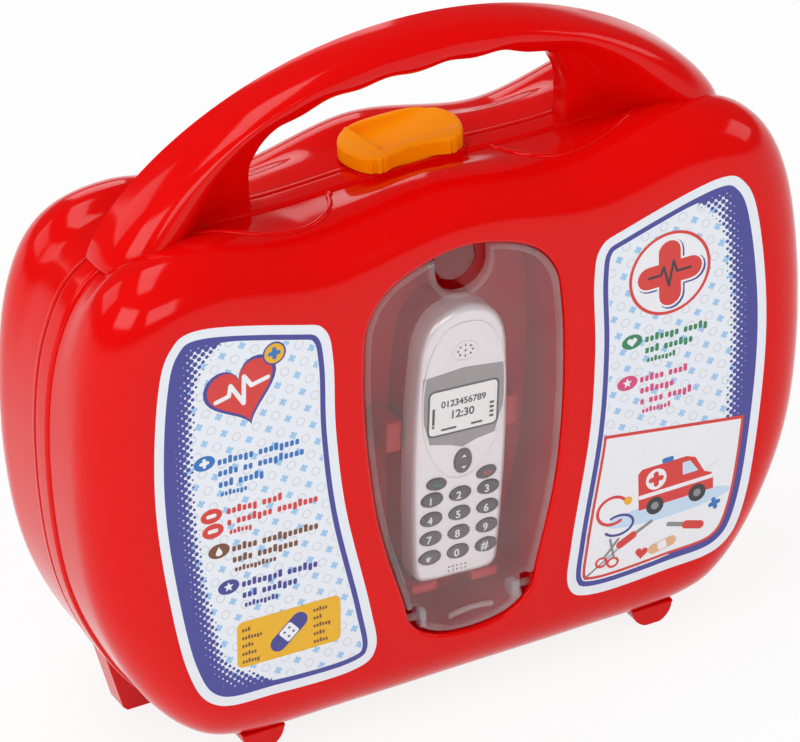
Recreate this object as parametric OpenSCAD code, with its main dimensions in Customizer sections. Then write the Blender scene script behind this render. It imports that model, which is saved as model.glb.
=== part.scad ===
// Toy doctor case: two red half shells hinged along the bottom, a carrying handle, a sliding
// latch, and a toy phone behind a clear drop-down door.
// X runs across the case, Y from front to back, Z up. The case stands on its feet at Z = 0,
// and the two shells meet at Y = 0.

/* [Case body] */
// Width of the case
body_w = 258; // [240:1:290]
// Depth of the front shell, from the seam to the front face
front_depth = 42; // [38:1:56]
// Depth of the rear shell, from the seam to the back
rear_depth = 42; // [38:1:56]
// Height of the front shell's top edge at the middle, above the floor
top_z = 184; // [178:1:200]
// Height of the feet under the body
foot_h = 4.5; // [3:0.5:6]
// Wall of the shells
wall = 2.2; // [1.8:0.1:2.8]
// Radius of the round front and rear edges
edge_r = 18; // [12:1:20]
// How far the top edge dips between its hump and its shoulders
wave_dip = 5; // [2:0.5:7]
// Drop of the top from the front edge to the seam
deck_drop = 4; // [2:0.5:6]
// Rise of the rear shell's top over the seam
rear_rise = 2.5; // [1:0.5:6]
// How far the rear shell's top dips between its hump and its shoulders
rear_dip = 7.5; // [4:0.5:9]
// Width of the raised bead along the front shell's rim
bead_w = 8; // [5:0.5:10]
// Height of the raised bead
bead_h = 0.9; // [0.5:0.1:1.5]
// Gap between the two closed shells
seam_gap = 0.2; // [0.1:0.05:0.4]

/* [Handle] */
// Height of the handle's top above the floor
handle_top_z = 227.5; // [220:0.5:240]
// Height of the middle of the grip's underside
grip_z = 215; // [208:0.5:218]
// Front to back thickness of the grip
grip_depth = 18; // [14:0.5:20]
// Front to back thickness of the handle's roots
root_depth = 23.5; // [20:0.5:24]
// Half the span of the handle's roots
root_half_span = 108.5; // [104:0.5:112]
// Depth of the finger bumps
bump_h = 1.2; // [0:0.1:1.8]
// Distance between finger bumps
bump_pitch = 19; // [17:0.5:22]

/* [Window and door] */
// Width of the window in the front face
window_w = 71; // [66:0.5:74]
// Height of the window's top above the floor
window_top_z = 166.5; // [160:0.5:168]
// Height of the window's bottom above the floor
window_bottom_z = 26.6; // [24:0.2:29]
// Gap round the door
door_gap = 0.5; // [0.3:0.1:0.8]
// Thickness of the door
door_t = 1.8; // [1.4:0.1:2.2]
// How far the door lies behind the front face
door_recess = 1.6; // [1:0.1:2.4]
// Height of the raised rim round the door
door_rim_h = 1; // [0.6:0.1:1.2]
// Width of the raised rim round the door
door_rim_w = 2.2; // [1.6:0.1:3]
// Height of the door's pivots above the floor
pivot_z = 35; // [34:0.5:37]
// How far the pivots lie behind the front face
pivot_y = 4.8; // [4.6:0.1:5.4]
// Radius of the door's pivot pins
pivot_r = 1.3; // [1:0.05:1.4]
// Running clearance of pins in their holes
run_gap = 0.05; // [0.02:0.01:0.1]
// Half width of the notch in the door's top edge
notch_r = 9.5; // [8:0.5:11]
// Depth of the notch in the door's top edge
notch_depth = 16; // [12:0.5:18]

/* [Phone tray] */
// How far the tray's floor lies behind the front face
tray_depth = 30; // [28:0.5:32]
// Wall of the tray
tray_wall = 1.8; // [1.4:0.1:2.2]
// How far the tray's walls stand outside the window
tray_ease = 1.5; // [1.2:0.1:2]

/* [Phone] */
// Width of the phone
phone_w = 33.4; // [32:0.2:35]
// Height of the phone
phone_h = 98; // [96:0.5:101]
// Thickness of the phone's front half
phone_front_t = 6; // [5:0.1:6.4]
// Thickness of the phone's back half
phone_back_t = 5; // [4:0.1:5.2]
// How far the phone's face lies behind the case's front face
phone_y = 8; // [7:0.1:8.6]
// How far the phone leans to the side in its seat, in degrees
phone_lean = 3.7; // [0:0.1:4]
// Height of the phone's lower end above the floor
phone_z = 42.5; // [41.6:0.1:43]
// Wall of the phone's halves
phone_wall = 1.4; // [1.2:0.1:1.6]
// Distance between the key columns
key_pitch_x = 10.1; // [9.6:0.1:10.4]
// Distance between the key rows
key_pitch_z = 7.05; // [6.6:0.05:7.3]
// Width of a number key
key_w = 7.6; // [7:0.1:8]
// Height of a number key
key_h = 4.9; // [4.4:0.1:5.2]
// How far the keys stand out of the phone's face
key_proud = 0.9; // [0.8:0.1:1.2]
// Travel of the keys
key_travel = 0.7; // [0.5:0.1:0.8]
// Gap round the keys
key_gap = 0.2; // [0.15:0.05:0.3]

/* [Latch] */
// Width of the latch
latch_w = 41; // [38:0.5:46]
// Front to back size of the latch
latch_d = 26; // [24:0.5:28]
// Thickness of the latch
latch_t = 5.8; // [4.5:0.1:6.5]
// How far the latch's middle lies right of the case's middle
latch_x = 2; // [0:0.1:3]
// Travel of the latch to its locked place
latch_travel = 4.5; // [4:0.1:5]
// Distance of the latch's hooks from the middle of the case
hook_x = 12; // [10:0.5:13]
// Width of a hook
hook_w = 5; // [4:0.5:6]
// Front to back size of a hook
hook_len = 4; // [3:0.5:5]
// Play of the hooks in their pockets
hook_gap = 0.4; // [0.2:0.1:0.6]
// Half width of the flat bed under the latch
bed_half = 17; // [16:0.5:18]
// Front to back size of the bed in the front shell
bed_y = 9.5; // [9:0.5:10]

/* [Hinge] */
// Radius of the hinge knuckles
knuckle_r = 3; // [2.6:0.1:3.4]
// Radius of the hinge pins
hinge_pin_r = 1.25; // [1:0.05:1.4]
// Length of one hinge
hinge_len = 24; // [20:1:28]
// Distance of a hinge's middle from the middle of the case
hinge_x = 40; // [34:1:44]

/* [Labels] */
// Thickness of the printed labels
label_t = 0.15; // [0.1:0.05:0.3]
// Space between a label and the side of the case
label_side = 20.5; // [19:0.5:24]
// Space between a label and the window
label_window = 10.5; // [9:0.5:13]

/* [Hidden] */

half_w = body_w / 2;
face_y = -front_depth;
samples = 4;
curve_steps = 5;

// Colours of the object
red = [0.87, 0.14, 0.13];
yellow = [1, 0.62, 0.1];
silver = [0.85, 0.85, 0.87];
dark_grey = [0.22, 0.22, 0.24];
clear = [0.85, 0.9, 0.95, 0.35];
label_white = [0.9, 0.91, 0.94];
steel = [0.7, 0.7, 0.72];
board_green = [0.1, 0.4, 0.22];

// Smooth closed curves through a few points
function blend3(a, b, c, d, t) =
    0.5 * (2 * b + (c - a) * t + (2 * a - 5 * b + 4 * c - d) * t * t + (3 * b - a - 3 * c + d) * t * t * t);
function mirrored(half) = concat(half, [for (i = [len(half) - 2:-1:1]) [-half[i][0], half[i][1]]]);
function curve(p, k) = let (n = len(p))
    [for (i = [0:n - 1], j = [0:k - 1]) blend3(p[(i + n - 1) % n], p[i], p[(i + 1) % n], p[(i + 2) % n], j / k)];
function outward(p) = let (n = len(p))
    [for (i = [0:n - 1]) let (t = p[(i + 1) % n] - p[(i + n - 1) % n]) [-t[1], t[0]] / norm(t)];
function inset(p, d) = let (m = outward(p)) [for (i = [0:len(p) - 1]) p[i] - (is_list(d) ? d[i] : d) * m[i]];
function mix(p, q, w) = [for (i = [0:len(p) - 1]) p[i] * (1 - w) + q[i] * w];
function ring(p, y) = [for (a = p) [a[0], y, a[1]]];
function smooth(t) = let (c = min(1, max(0, t))) c * c * (3 - 2 * c);

// A skin over rings of points, with a fan over each end
module loft(rings) {
    n = len(rings[0]);
    m = len(rings);
    pts = [for (r = rings) each r];
    mid = function (r) [for (a = [0:2]) (min([for (q = r) q[a]]) + max([for (q = r) q[a]])) / 2];
    strips = [for (j = [0:m - 2], i = [0:n - 1])
        let (a = j * n + i, b = j * n + (i + 1) % n, c = b + n, d = a + n)
        each [[a, d, c], [a, c, b]]];
    ends = [for (i = [0:n - 1])
        each [[m * n, i, (i + 1) % n], [m * n + 1, (m - 1) * n + (i + 1) % n, (m - 1) * n + i]]];
    polyhedron(concat(pts, [mid(rings[0]), mid(rings[m - 1])]), concat(strips, ends));
}

// A flat outline in X and Z, made solid between two places along Y
module slab(p, y0, y1) {
    translate([0, y1, 0]) rotate([90, 0, 0]) linear_extrude(y1 - y0) polygon(p);
}
module bar_x(x0, x1, r, y, z) {
    translate([x0, y, z]) rotate([0, 90, 0]) cylinder(h = x1 - x0, r = r, $fn = 48);
}
module bar_y(y0, y1, r, x, z) {
    translate([x, y0, z]) rotate([-90, 0, 0]) cylinder(h = y1 - y0, r = r, $fn = 48);
}
module block(x0, x1, y0, y1, z0, z1) {
    translate([x0, y0, z0]) cube([x1 - x0, y1 - y0, z1 - z0]);
}
module both_sides() {
    children();
    mirror([1, 0, 0]) children();
}

// The case's outline from the front: the top edge is given, the rest is shared
function side_points(shoulder_z) = [
    [half_w - 19, shoulder_z - 6.5],
    [half_w - 5, shoulder_z - 29],
    [half_w, foot_h + 109.5],
    [half_w - 3, foot_h + 65.5],
    [half_w - 14, foot_h + 33.5],
    [half_w - 30.5, foot_h + 10],
    [half_w - 50, foot_h + 1],
    [40, foot_h],
    [0, foot_h]];
function case_outline(mid_z, dip_z, shoulder_z) =
    curve(mirrored(concat([[0, mid_z], [45, dip_z], [84, shoulder_z]], side_points(shoulder_z))), samples);
seam_z = top_z - deck_drop;
front_outline = case_outline(top_z, top_z - wave_dip, top_z + 1);
seam_outline = case_outline(seam_z, seam_z - 1.5, seam_z - 0.5);
rear_outline = case_outline(seam_z + rear_rise, seam_z + rear_rise - rear_dip, seam_z + rear_rise);

// The window's outline, with as many points as the case's
window_half = [
    [0, window_top_z],
    [window_w * 0.31, window_top_z - 5.5],
    [window_w * 0.46, window_top_z - 16.5],
    [window_w * 0.497, window_top_z - 32.5],
    [window_w * 0.499, window_top_z - 54.5],
    [window_w * 0.482, window_top_z - 73],
    [window_w * 0.455, window_top_z - 89],
    [window_w * 0.415, window_bottom_z + 37.4],
    [window_w * 0.342, window_bottom_z + 18.4],
    [window_w * 0.303, window_bottom_z + 8.4],
    [window_w * 0.183, window_bottom_z + 1.9],
    [0, window_bottom_z]];
window_outline = curve(mirrored(window_half), samples);

// Round edge of a shell: how far it lies in from the outline, and how far from the face
function round_edge(r, steps) = [for (k = [0:steps]) let (a = 90 * k / steps) [r * (1 - sin(a)), r * (1 - cos(a))]];

// The front edge is rounded less over the window, which reaches up near the top edge
window_edge_share = 0.76;
function front_edge(e, extra) = [for (q = front_outline)
    extra + e * (q[1] < 100 ? 1 : 1 - (1 - window_edge_share) * (1 - smooth((abs(q[0]) - 16) / 40)))];
function front_level(y) = mix(seam_outline, front_outline, smooth((-y - bead_w) / 14));
function rear_level(y) = mix(seam_outline, rear_outline, smooth((y - 14) / 9));

module front_shell_skin() {
    outer = [for (e = round_edge(edge_r, curve_steps)) ring(inset(front_outline, front_edge(e[0], bead_h)), face_y + e[1])];
    side = [for (y = [-bead_w - 8, -bead_w]) ring(inset(front_level(y), bead_h), y)];
    rim = [ring(inset(seam_outline, 0), -bead_w + 1), ring(seam_outline, -1), ring(inset(seam_outline, 0.6), -seam_gap / 2)];
    inner_side = [for (y = [-seam_gap / 2, -bead_w, -bead_w - 8]) ring(inset(front_level(y), wall + bead_h), y)];
    inner = [for (e = round_edge(edge_r - wall, 3))
        ring(inset(front_outline, front_edge(e[0], wall + bead_h)), face_y + wall + e[1])];
    inner_back = [for (j = [len(inner) - 1:-1:0]) inner[j]];
    loft(concat(outer, side, rim, inner_side, inner_back));
}

// The handle: rings of a round-fronted section, from one root over the grip to the other
stations = 36;
section_steps = 8;
grip_half = [[0, grip_z], [26, grip_z - 1], [46, grip_z - 7], [54.5, grip_z - 17.5], [55.5, seam_z + 7.5],
             [55, seam_z + 1], [55, seam_z - 6]];
function path_point(p, t) = let (i = min(len(p) - 2, floor(t * (len(p) - 1))), f = t * (len(p) - 1) - i,
    a = i > 0 ? p[i - 1] : [-p[1][0], p[1][1]], d = i < len(p) - 2 ? p[i + 2] : 2 * p[i + 1] - p[i])
    blend3(a, p[i], p[i + 1], d, f);
function grip_bump(x) = abs(x) < 2.5 * bump_pitch ? -bump_h * (0.5 + 0.5 * cos(360 * x / bump_pitch)) : 0;
function handle_inner(s) = let (q = path_point(grip_half, abs(s))) [sign(s) * q[0], q[1] + grip_bump(q[0])];
function handle_outer(s) = let (a = 90 * pow(abs(s), 0.85), z0 = seam_z - 5)
    [sign(s) * root_half_span * sin(a), z0 + (handle_top_z - z0) * pow(max(0, cos(a)), 1.4)];
// The grip's front is round, and the roots stand forward at their outer side only
function handle_front(s, v) = let (r = smooth(abs(s)), depth = grip_depth + (root_depth - grip_depth) * r,
    edge = 6 + 1.5 * r, p = 2.6, grip = pow(max(0, 1 - pow(abs(2 * v - 1), p)), 1 / p),
    root = smooth((v - 0.25) / 0.5) * sqrt(max(0, 1 - pow(max(0, v - 0.75) / 0.25, 2))))
    edge + (depth - edge) * (grip * (1 - r) + root * r);
function handle_ring(s) = let (a = handle_inner(s), b = handle_outer(s))
    concat([[a[0], -seam_gap / 2, a[1]]],
           [for (k = [0:section_steps]) let (v = k / section_steps, q = a * (1 - v) + b * v)
               [q[0], -handle_front(s, v), q[1]]],
           [[b[0], -seam_gap / 2, b[1]]]);
module handle_arch() {
    loft([for (j = [0:stations]) handle_ring(1 - 2 * j / stations)]);
}

// A shallow dish at each root reaches towards the latch, with a raised rim round it
dish_end = root_half_span - 20.5;
dish_plan = [[28, -0.3], [47, -0.3], [66, -0.3], [dish_end, -0.3], [dish_end, -11], [dish_end - 11, -17], [66, -22],
    [57, -24.6], [47, -24.8], [38, -22.6], [31.5, -18], [28, -10]];
dish_rise = 1.7;
dish_slope = 0.1;
module root_dish() {
    level = function (d, drop) [for (a = inset(dish_plan, d)) [a[0], a[1], seam_z + dish_rise + dish_slope * a[1] - drop]];
    loft([level(2.2, 0.9), level(1.3, 0), level(0.4, 0), level(0, 0.4), level(0, 6)]);
}

// Feet, hinge knuckles and the flat beds under the latch
front_foot_x = 71;
foot_r = 7.5;
foot_len = 14;
module front_foot() {
    intersection() {
        bar_y(face_y + 9, face_y + 9 + foot_len, foot_r, front_foot_x, foot_r - 0.5);
        block(front_foot_x - foot_r, front_foot_x + foot_r, face_y, 0, 0, foot_h + wall - 0.4);
    }
}
// The rear foot carries on the slant of the case's lower corner down to the floor
rear_foot_y = 9;
rear_foot_len = 9;
module rear_foot() {
    corner = inset(seam_outline, 1);
    first = 7 * samples + 2;
    last = 9 * samples;
    top = [for (i = [first:last]) corner[i]];
    outer_x = corner[first][0];
    slab(concat(top, [[corner[last][0] + 3, 0], [outer_x - 7.5, 0], [outer_x - 6, 1.5]]), rear_foot_y,
        rear_foot_y + rear_foot_len);
}

knuckle_len = hinge_len / 4;
knuckle_gap = 0.3;
module knuckle(x0, x1) {
    bar_x(x0, x1, knuckle_r, 0, foot_h);
}
module hinge_bore() {
    bar_x(hinge_x - hinge_len / 2 - 1, hinge_x + hinge_len / 2 + 1, hinge_pin_r + run_gap, 0, foot_h);
}
module hinge_clear(x0, x1) {
    bar_x(x0 - knuckle_gap, x1 + knuckle_gap, knuckle_r + 0.4, 0, foot_h);
}
hinge_in = hinge_x - hinge_len / 2;
hinge_out = hinge_x + hinge_len / 2;

bed_z = seam_z + 0.1;
hook_y = 5;

module bed(z, depth) {
    right = bed_half + latch_travel;
    translate([0, 0, seam_z - 3.6]) linear_extrude(z - seam_z + 3.6)
        polygon([[-bed_half, -seam_gap / 2], [right, -seam_gap / 2], [right, 3.5 - depth],
                 [right - 3.5, -depth], [3.5 - bed_half, -depth], [-bed_half, 3.5 - depth]]);
}

module front_shell() color(red) difference() {
    union() {
        front_shell_skin();
        handle_arch();
        bed(bed_z, bed_y);
        both_sides() {
            root_dish();
            front_foot();
            knuckle(hinge_in, hinge_in + knuckle_len);
            knuckle(hinge_out - knuckle_len, hinge_out);
        }
    }
    // the window, and shallow pockets for the labels
    slab(window_outline, face_y - 1, face_y + wall + 1);
    both_sides() slab(inset(label_outline, -label_ease), face_y - 1, face_y + label_t);
    // the latch's slot
    block(-stem_w / 2 - 0.3, stem_w / 2 + latch_travel + 0.3, stem_y - 0.3, stem_y + stem_d + 0.3, seam_z - 6, bed_z + 1);
    both_sides() {
        hinge_bore();
        hinge_clear(hinge_in + knuckle_len, hinge_out - knuckle_len);
    }
}

module rear_shell_skin() {
    back = rear_depth;
    outer = [for (e = round_edge(edge_r, curve_steps)) ring(inset(rear_outline, e[0] + bead_h), back - e[1])];
    outer_back = [for (j = [len(outer) - 1:-1:0]) outer[j]];
    rim = [ring(inset(seam_outline, 0.6), seam_gap / 2), ring(seam_outline, 1), ring(inset(seam_outline, bead_h), 2.2)];
    side = [for (y = [14, 18]) ring(inset(rear_level(y), bead_h), y)];
    inner = [for (e = round_edge(edge_r - wall, 3)) ring(inset(rear_outline, e[0] + wall + bead_h), back - wall - e[1])];
    inner_side = [for (y = [18, 14, seam_gap / 2]) ring(inset(rear_level(y), wall + bead_h), y)];
    loft(concat(inner, inner_side, rim, side, outer_back));
}

// The rear shell's bed has two openings that let the latch's hooks in from the front, and a
// pocket beside each that the hooks slide into
module hook_way(x) {
    block(x - hook_w / 2 - hook_gap, x + hook_w / 2 + hook_gap, -1, hook_y + hook_len + hook_gap, seam_z - 6, bed_z + 1);
    block(x - hook_w / 2 - hook_gap, x + hook_w / 2 + latch_travel + hook_gap, hook_y - hook_gap,
          hook_y + hook_len + hook_gap, seam_z - 6, bed_z + 1);
}

module rear_shell() color(red) difference() {
    union() {
        rear_shell_skin();
        mirror([0, 1, 0]) bed(bed_z, bed_y + 2);
        both_sides() {
            rear_foot();
            knuckle(hinge_in + knuckle_len + knuckle_gap, hinge_out - knuckle_len - knuckle_gap);
        }
    }
    hook_way(-hook_x);
    hook_way(hook_x);
    both_sides() {
        hinge_bore();
        hinge_clear(hinge_in - 1, hinge_in + knuckle_len);
        hinge_clear(hinge_out - knuckle_len, hinge_out + 1);
    }
}

module hinge_pin() color(steel) bar_x(hinge_in, hinge_out, hinge_pin_r, 0, foot_h);
module hinge_pin_right() hinge_pin();
module hinge_pin_left() mirror([1, 0, 0]) hinge_pin();

// The latch: a thumb plate with a scooped top, a stem held under the front shell, and two hooks
stem_w = 16;
stem_d = 4.6;
stem_y = -7.6;
latch_gap = 0.15;
latch_mid_y = 2.8;
latch_half = [
    [0, latch_d / 2],
    [latch_w * 0.25, latch_d / 2 - 1],
    [latch_w * 0.43, latch_d / 2 - 5.5],
    [latch_w / 2, latch_d / 2 - 13],
    [latch_w * 0.455, 3 - latch_d / 2],
    [latch_w * 0.33, -latch_d / 2],
    [latch_w * 0.18, 1.6 - latch_d / 2],
    [0, 2.6 - latch_d / 2]];
module latch_slider() color(yellow) {
    plan = curve(mirrored(latch_half), samples);
    base_z = bed_z + latch_gap;
    level = function (p, z) [for (a = p) [a[0] + latch_x, a[1] + latch_mid_y, z]];
    difference() {
        union() {
            loft([for (e = [[1.2, latch_t], [0.35, latch_t - 0.35], [0, latch_t - 1.2], [0.3, 0]])
                level(inset(plan, e[0]), base_z + e[1])]);
            block(-stem_w / 2, stem_w / 2, stem_y, stem_y + stem_d, seam_z - 3.6 - latch_gap - 0.1, base_z + 1);
            block(-stem_w / 2, stem_w / 2, stem_y - 2, stem_y + stem_d + 1.6, seam_z - 5.8, seam_z - 3.6 - latch_gap);
            for (x = [-hook_x, hook_x])
                block(x - hook_w / 2, x + hook_w / 2, hook_y, hook_y + hook_len, seam_z - 4, base_z + 1);
        }
        // the thumb scoop slopes down to a ridge near the left end
        slope = 7;
        translate([latch_x - latch_w * 0.3, latch_mid_y - latch_d * 0.22, base_z + latch_t - 2]) rotate([0, -slope, 0])
            cube([latch_w * 0.72, latch_d * 0.6, 8]);
    }
}

// The clear door, with its rim, pivots and the notch over the catch
door_y = face_y + door_recess;
// the door's lower end has more room, because it dips as the door turns
door_outline = inset(window_outline, [for (q = window_outline) door_gap + 0.7 * smooth((pivot_z + 2 - q[1]) / 5)]);
pivot_plane = face_y + pivot_y;
ear_w = 2.3;
ear_x = window_w * 0.303 - ear_w - 3.6;
pivot_end = window_w * 0.303 + tray_ease + 1.4;
module notch_shape(grow, y0, y1) {
    bar_y(y0, y1, notch_r + grow, 0, window_top_z - notch_depth + notch_r);
    block(-notch_r - grow, notch_r + grow, y0, y1, window_top_z - notch_depth + notch_r, window_top_z + 5);
}
module window_door() color(clear) difference() {
    union() {
        slab(door_outline, door_y, door_y + door_t);
        difference() {
            slab(door_outline, door_y - door_rim_h, door_y + 0.2);
            slab(inset(door_outline, door_rim_w), door_y - door_rim_h - 1, door_y + 1);
        }
        intersection() {
            notch_shape(door_rim_w, door_y - door_rim_h, door_y + 0.2);
            slab(door_outline, door_y - door_rim_h, door_y + 0.2);
        }
        both_sides() {
            bar_x(ear_x, ear_x + ear_w, 3, pivot_plane, pivot_z);
            block(ear_x, ear_x + ear_w, door_y + 0.5, pivot_plane, pivot_z - 3, pivot_z + 3);
            bar_x(ear_x + 0.5, pivot_end, pivot_r, pivot_plane, pivot_z);
        }
    }
    notch_shape(0, door_y - 3, door_y + 3);
    // corner notches let the door turn past the window's narrow lower corners
    both_sides() block(ear_x + ear_w + 0.1, half_w, door_y - 3, door_y + door_t + 0.05, pivot_z - 3.5, pivot_z + 6);
}

// The tray behind the window that the phone lies in
tray_front = face_y + wall + 0.45;
tray_back = face_y + tray_depth;
tray_inner = inset(window_outline, -tray_ease);
module at_phone() {
    translate([-1.2, face_y + phone_y, phone_z]) rotate([0, phone_lean, 0]) children();
}
seat_gap = 0.15;
clip_z = 47;
clip_h = 11;
module tray_clip() {
    block(phone_w / 2 + 1.3, phone_w / 2 + 7, 6.5, phone_seat_y + 6, clip_z, clip_z + clip_h);
}
phone_seat_y = phone_front_t + phone_back_t + seat_gap;
module phone_tray() color(red) difference() {
    union() {
        difference() {
            slab(inset(tray_inner, -tray_wall), tray_front, tray_back);
            slab(tray_inner, tray_front - 1, tray_back - tray_wall);
        }
        // the raised seat, the side clips and the two ledges under the phone
        at_phone() {
            seat_depth = tray_depth - phone_y - phone_seat_y - tray_wall / 2;
            slab(inset(phone_outline, 0.8), phone_seat_y, phone_seat_y + seat_depth);
            both_sides() block(phone_w / 2 + 1.3, phone_w / 2 + 7, 6.5, phone_seat_y + seat_depth, clip_z, clip_z + clip_h);
            both_sides() block(6.2, 15.5, 1, phone_seat_y + seat_depth, -3.8, -0.5);
        }
        // the catch that the door's notch leaves free
        intersection() {
            notch_shape(-1.8, door_y + 4, door_y + 8);
            slab(inset(tray_inner, -0.5), door_y, door_y + 9);
        }
        // bosses for the door's pivots
        both_sides() block(window_w * 0.303 + tray_ease - 0.4, window_w * 0.303 + tray_ease + 4, tray_front,
            pivot_plane + 3, pivot_z - 4, pivot_z + 4);
    }
    both_sides() bar_x(window_w * 0.303 - 3, window_w * 0.303 + tray_ease + 3, pivot_r + run_gap, pivot_plane, pivot_z);
    // the seat is hollow from behind
    at_phone() slab(inset(phone_outline, 3), phone_seat_y + tray_wall, tray_depth);
}

// Labels let into the front face, one at each side of the window
label_in = window_w / 2 + label_window;
label_out = half_w - label_side;
label_curve = [
    [label_in, 140], [label_in + 2.5, 152], [label_in + 12, 156.5], [label_out - 18.5, 164.5],
    [label_out - 7.5, 160], [label_out - 2.5, 144], [label_out, 112], [label_out - 2, 80],
    [label_out - 8, 44], [label_out - 17.5, 28.5], [label_out - 38.5, 26], [label_in - 2, 25.5],
    [label_in - 11.5, 31], [label_in - 9.5, 48], [label_in - 2.5, 85], [label_in, 115]];
label_outline = curve(label_curve, 3);
label_ease = 0.15;
module label() color(label_white) slab(label_outline, face_y, face_y + label_t);
module label_right() label();
module label_left() mirror([1, 0, 0]) label();

// The phone. Its own frame has the face at Y = 0 and the lower end at Z = 0.
phone_half = [
    [0, phone_h],
    [phone_w * 0.27, phone_h - 3],
    [phone_w * 0.425, phone_h - 10.5],
    [phone_w * 0.472, phone_h - 23],
    [phone_w * 0.497, 55],
    [phone_w * 0.495, 35],
    [phone_w * 0.462, 8],
    [phone_w * 0.413, 1.5],
    [phone_w * 0.27, 0],
    [0, 0]];
phone_outline = curve(mirrored(phone_half), 3);
phone_t = phone_front_t + phone_back_t;
phone_round = 2.6;
part_gap = 0.1;
phone_side = 2;
cavity = inset(phone_outline, phone_side);
inside = inset(cavity, 0.35);

function oval(w, h, n) = [for (i = [0:n - 1]) [w / 2 * sin(360 * i / n), h / 2 * cos(360 * i / n)]];
function moved(p, x, z, turn) = [for (a = p) [x + a[0] * cos(turn) - a[1] * sin(turn), z + a[0] * sin(turn) + a[1] * cos(turn)]];
keys_z = 9.6;
nav_z = 42.6;
// Each key: name, place across, place up, width, height, turn
KEYS = concat(
    [["key_call", -8.7, 36.2, 7, 4.2, -8], ["key_end", 9.2, 36.4, 7, 4.2, 8], ["key_nav", 0.5, nav_z, 6.2, 8.6, 0]],
    [for (r = [0:3], c = [0:2]) [
        [["key_star", "key_0", "key_hash"], ["key_7", "key_8", "key_9"],
         ["key_4", "key_5", "key_6"], ["key_1", "key_2", "key_3"]][r][c],
        (c - 1) * key_pitch_x, keys_z + r * key_pitch_z, key_w, key_h, 0]]);
function key_shape(k, grow) = moved(oval(k[3] + 2 * grow, k[4] + 2 * grow, 20), k[1], k[2], k[5]);
function key_named(name) = [for (k = KEYS) if (k[0] == name) k][0];
flange_y = phone_wall + 0.1;
flange_t = 0.6;
flange_w = 0.45;
mat_y = flange_y + flange_t + key_travel + 0.15;
mat_t = 0.8;
board_y = mat_y + mat_t + 0.1;
board_t = 0.8;

module key(name) {
    k = key_named(name);
    color(dark_grey) at_phone() {
        slab(key_shape(k, 0), -key_proud, flange_y + 0.1);
        slab(key_shape(k, flange_w), flange_y, flange_y + flange_t);
    }
}

card_y = 0.35;
sounder_z = 82.3;
sounder_r = 6;
mic_z = 3.6;
display_band = [[-14.6, 75], [0, 76.4], [14.9, 75], [14.2, 60], [11.6, 50.5], [5, 49.4], [0.3, 47.6],
                [-4.5, 49.4], [-11.6, 51], [-14.2, 60]];
boss_r = 2;
screw_r = 0.8;
screw_places = [[-11, 76], [11, 76], [-11.5, 5.5], [11.5, 5.5]];

module phone_front_case() color(silver) at_phone() difference() {
    loft([for (e = concat([for (q = round_edge(phone_round, 3)) q], [[0, phone_front_t - part_gap / 2]]))
        ring(inset(phone_outline, e[0]), e[1])]);
    difference() {
        slab(cavity, phone_wall, phone_front_t + 1);
        for (s = screw_places) bar_y(phone_wall - 0.5, phone_front_t - part_gap, boss_r, s[0], s[1]);
    }
    for (s = screw_places) bar_y(phone_wall + 1, phone_front_t + 1, screw_r + 0.05, s[0], s[1]);
    for (k = KEYS) {
        slab(key_shape(k, key_gap), -1, phone_wall + 1);
        slab(key_shape(k, flange_w + key_gap), phone_wall, mat_y);
    }
    slab(display_band, -1, card_y + 0.1);
    // earpiece and mouthpiece holes
    for (a = [0:45:315]) bar_y(-1, phone_wall + 1, 0.45, 2.6 * sin(a), sounder_z + 1.9 * cos(a));
    bar_y(-1, phone_wall + 1, 0.45, 0, sounder_z);
    for (x = [-3:1.5:3], z = [-0.7, 0.7]) bar_y(-1, phone_wall + 1, 0.4, x, mic_z + z);
}

battery_z = 22;
battery_w = 20;
battery_h = 34;
cell_r = 5.8;
module phone_back_case() color(silver) at_phone() difference() {
    loft([for (e = concat([[0, phone_front_t + part_gap / 2]],
            [for (k = [3:-1:0]) let (q = round_edge(phone_round, 3)[k]) [q[0], phone_t - q[1]]]))
        ring(inset(phone_outline, e[0]), e[1])]);
    difference() {
        slab(cavity, phone_front_t - 1, phone_t - phone_wall);
        for (s = screw_places) bar_y(phone_front_t + part_gap, phone_t - phone_wall + 1, boss_r, s[0], s[1]);
    }
    for (s = screw_places) {
        bar_y(phone_front_t - 1, phone_t + 1, screw_r + 0.1, s[0], s[1]);
        bar_y(phone_t - 2.2, phone_t + 1, 1.6, s[0], s[1]);
    }
    block(-battery_w / 2, battery_w / 2, phone_t - phone_wall - 1, phone_t + 1, battery_z, battery_z + battery_h);
}

module phone_battery_door() color(silver) at_phone()
    block(-battery_w / 2 + 0.15, battery_w / 2 - 0.15, phone_t - phone_wall, phone_t, battery_z + 0.15,
          battery_z + battery_h - 0.15);

module phone_display_card() color(dark_grey) at_phone() slab(inset(display_band, 0.15), card_y - 0.25, card_y + 0.05);

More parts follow.
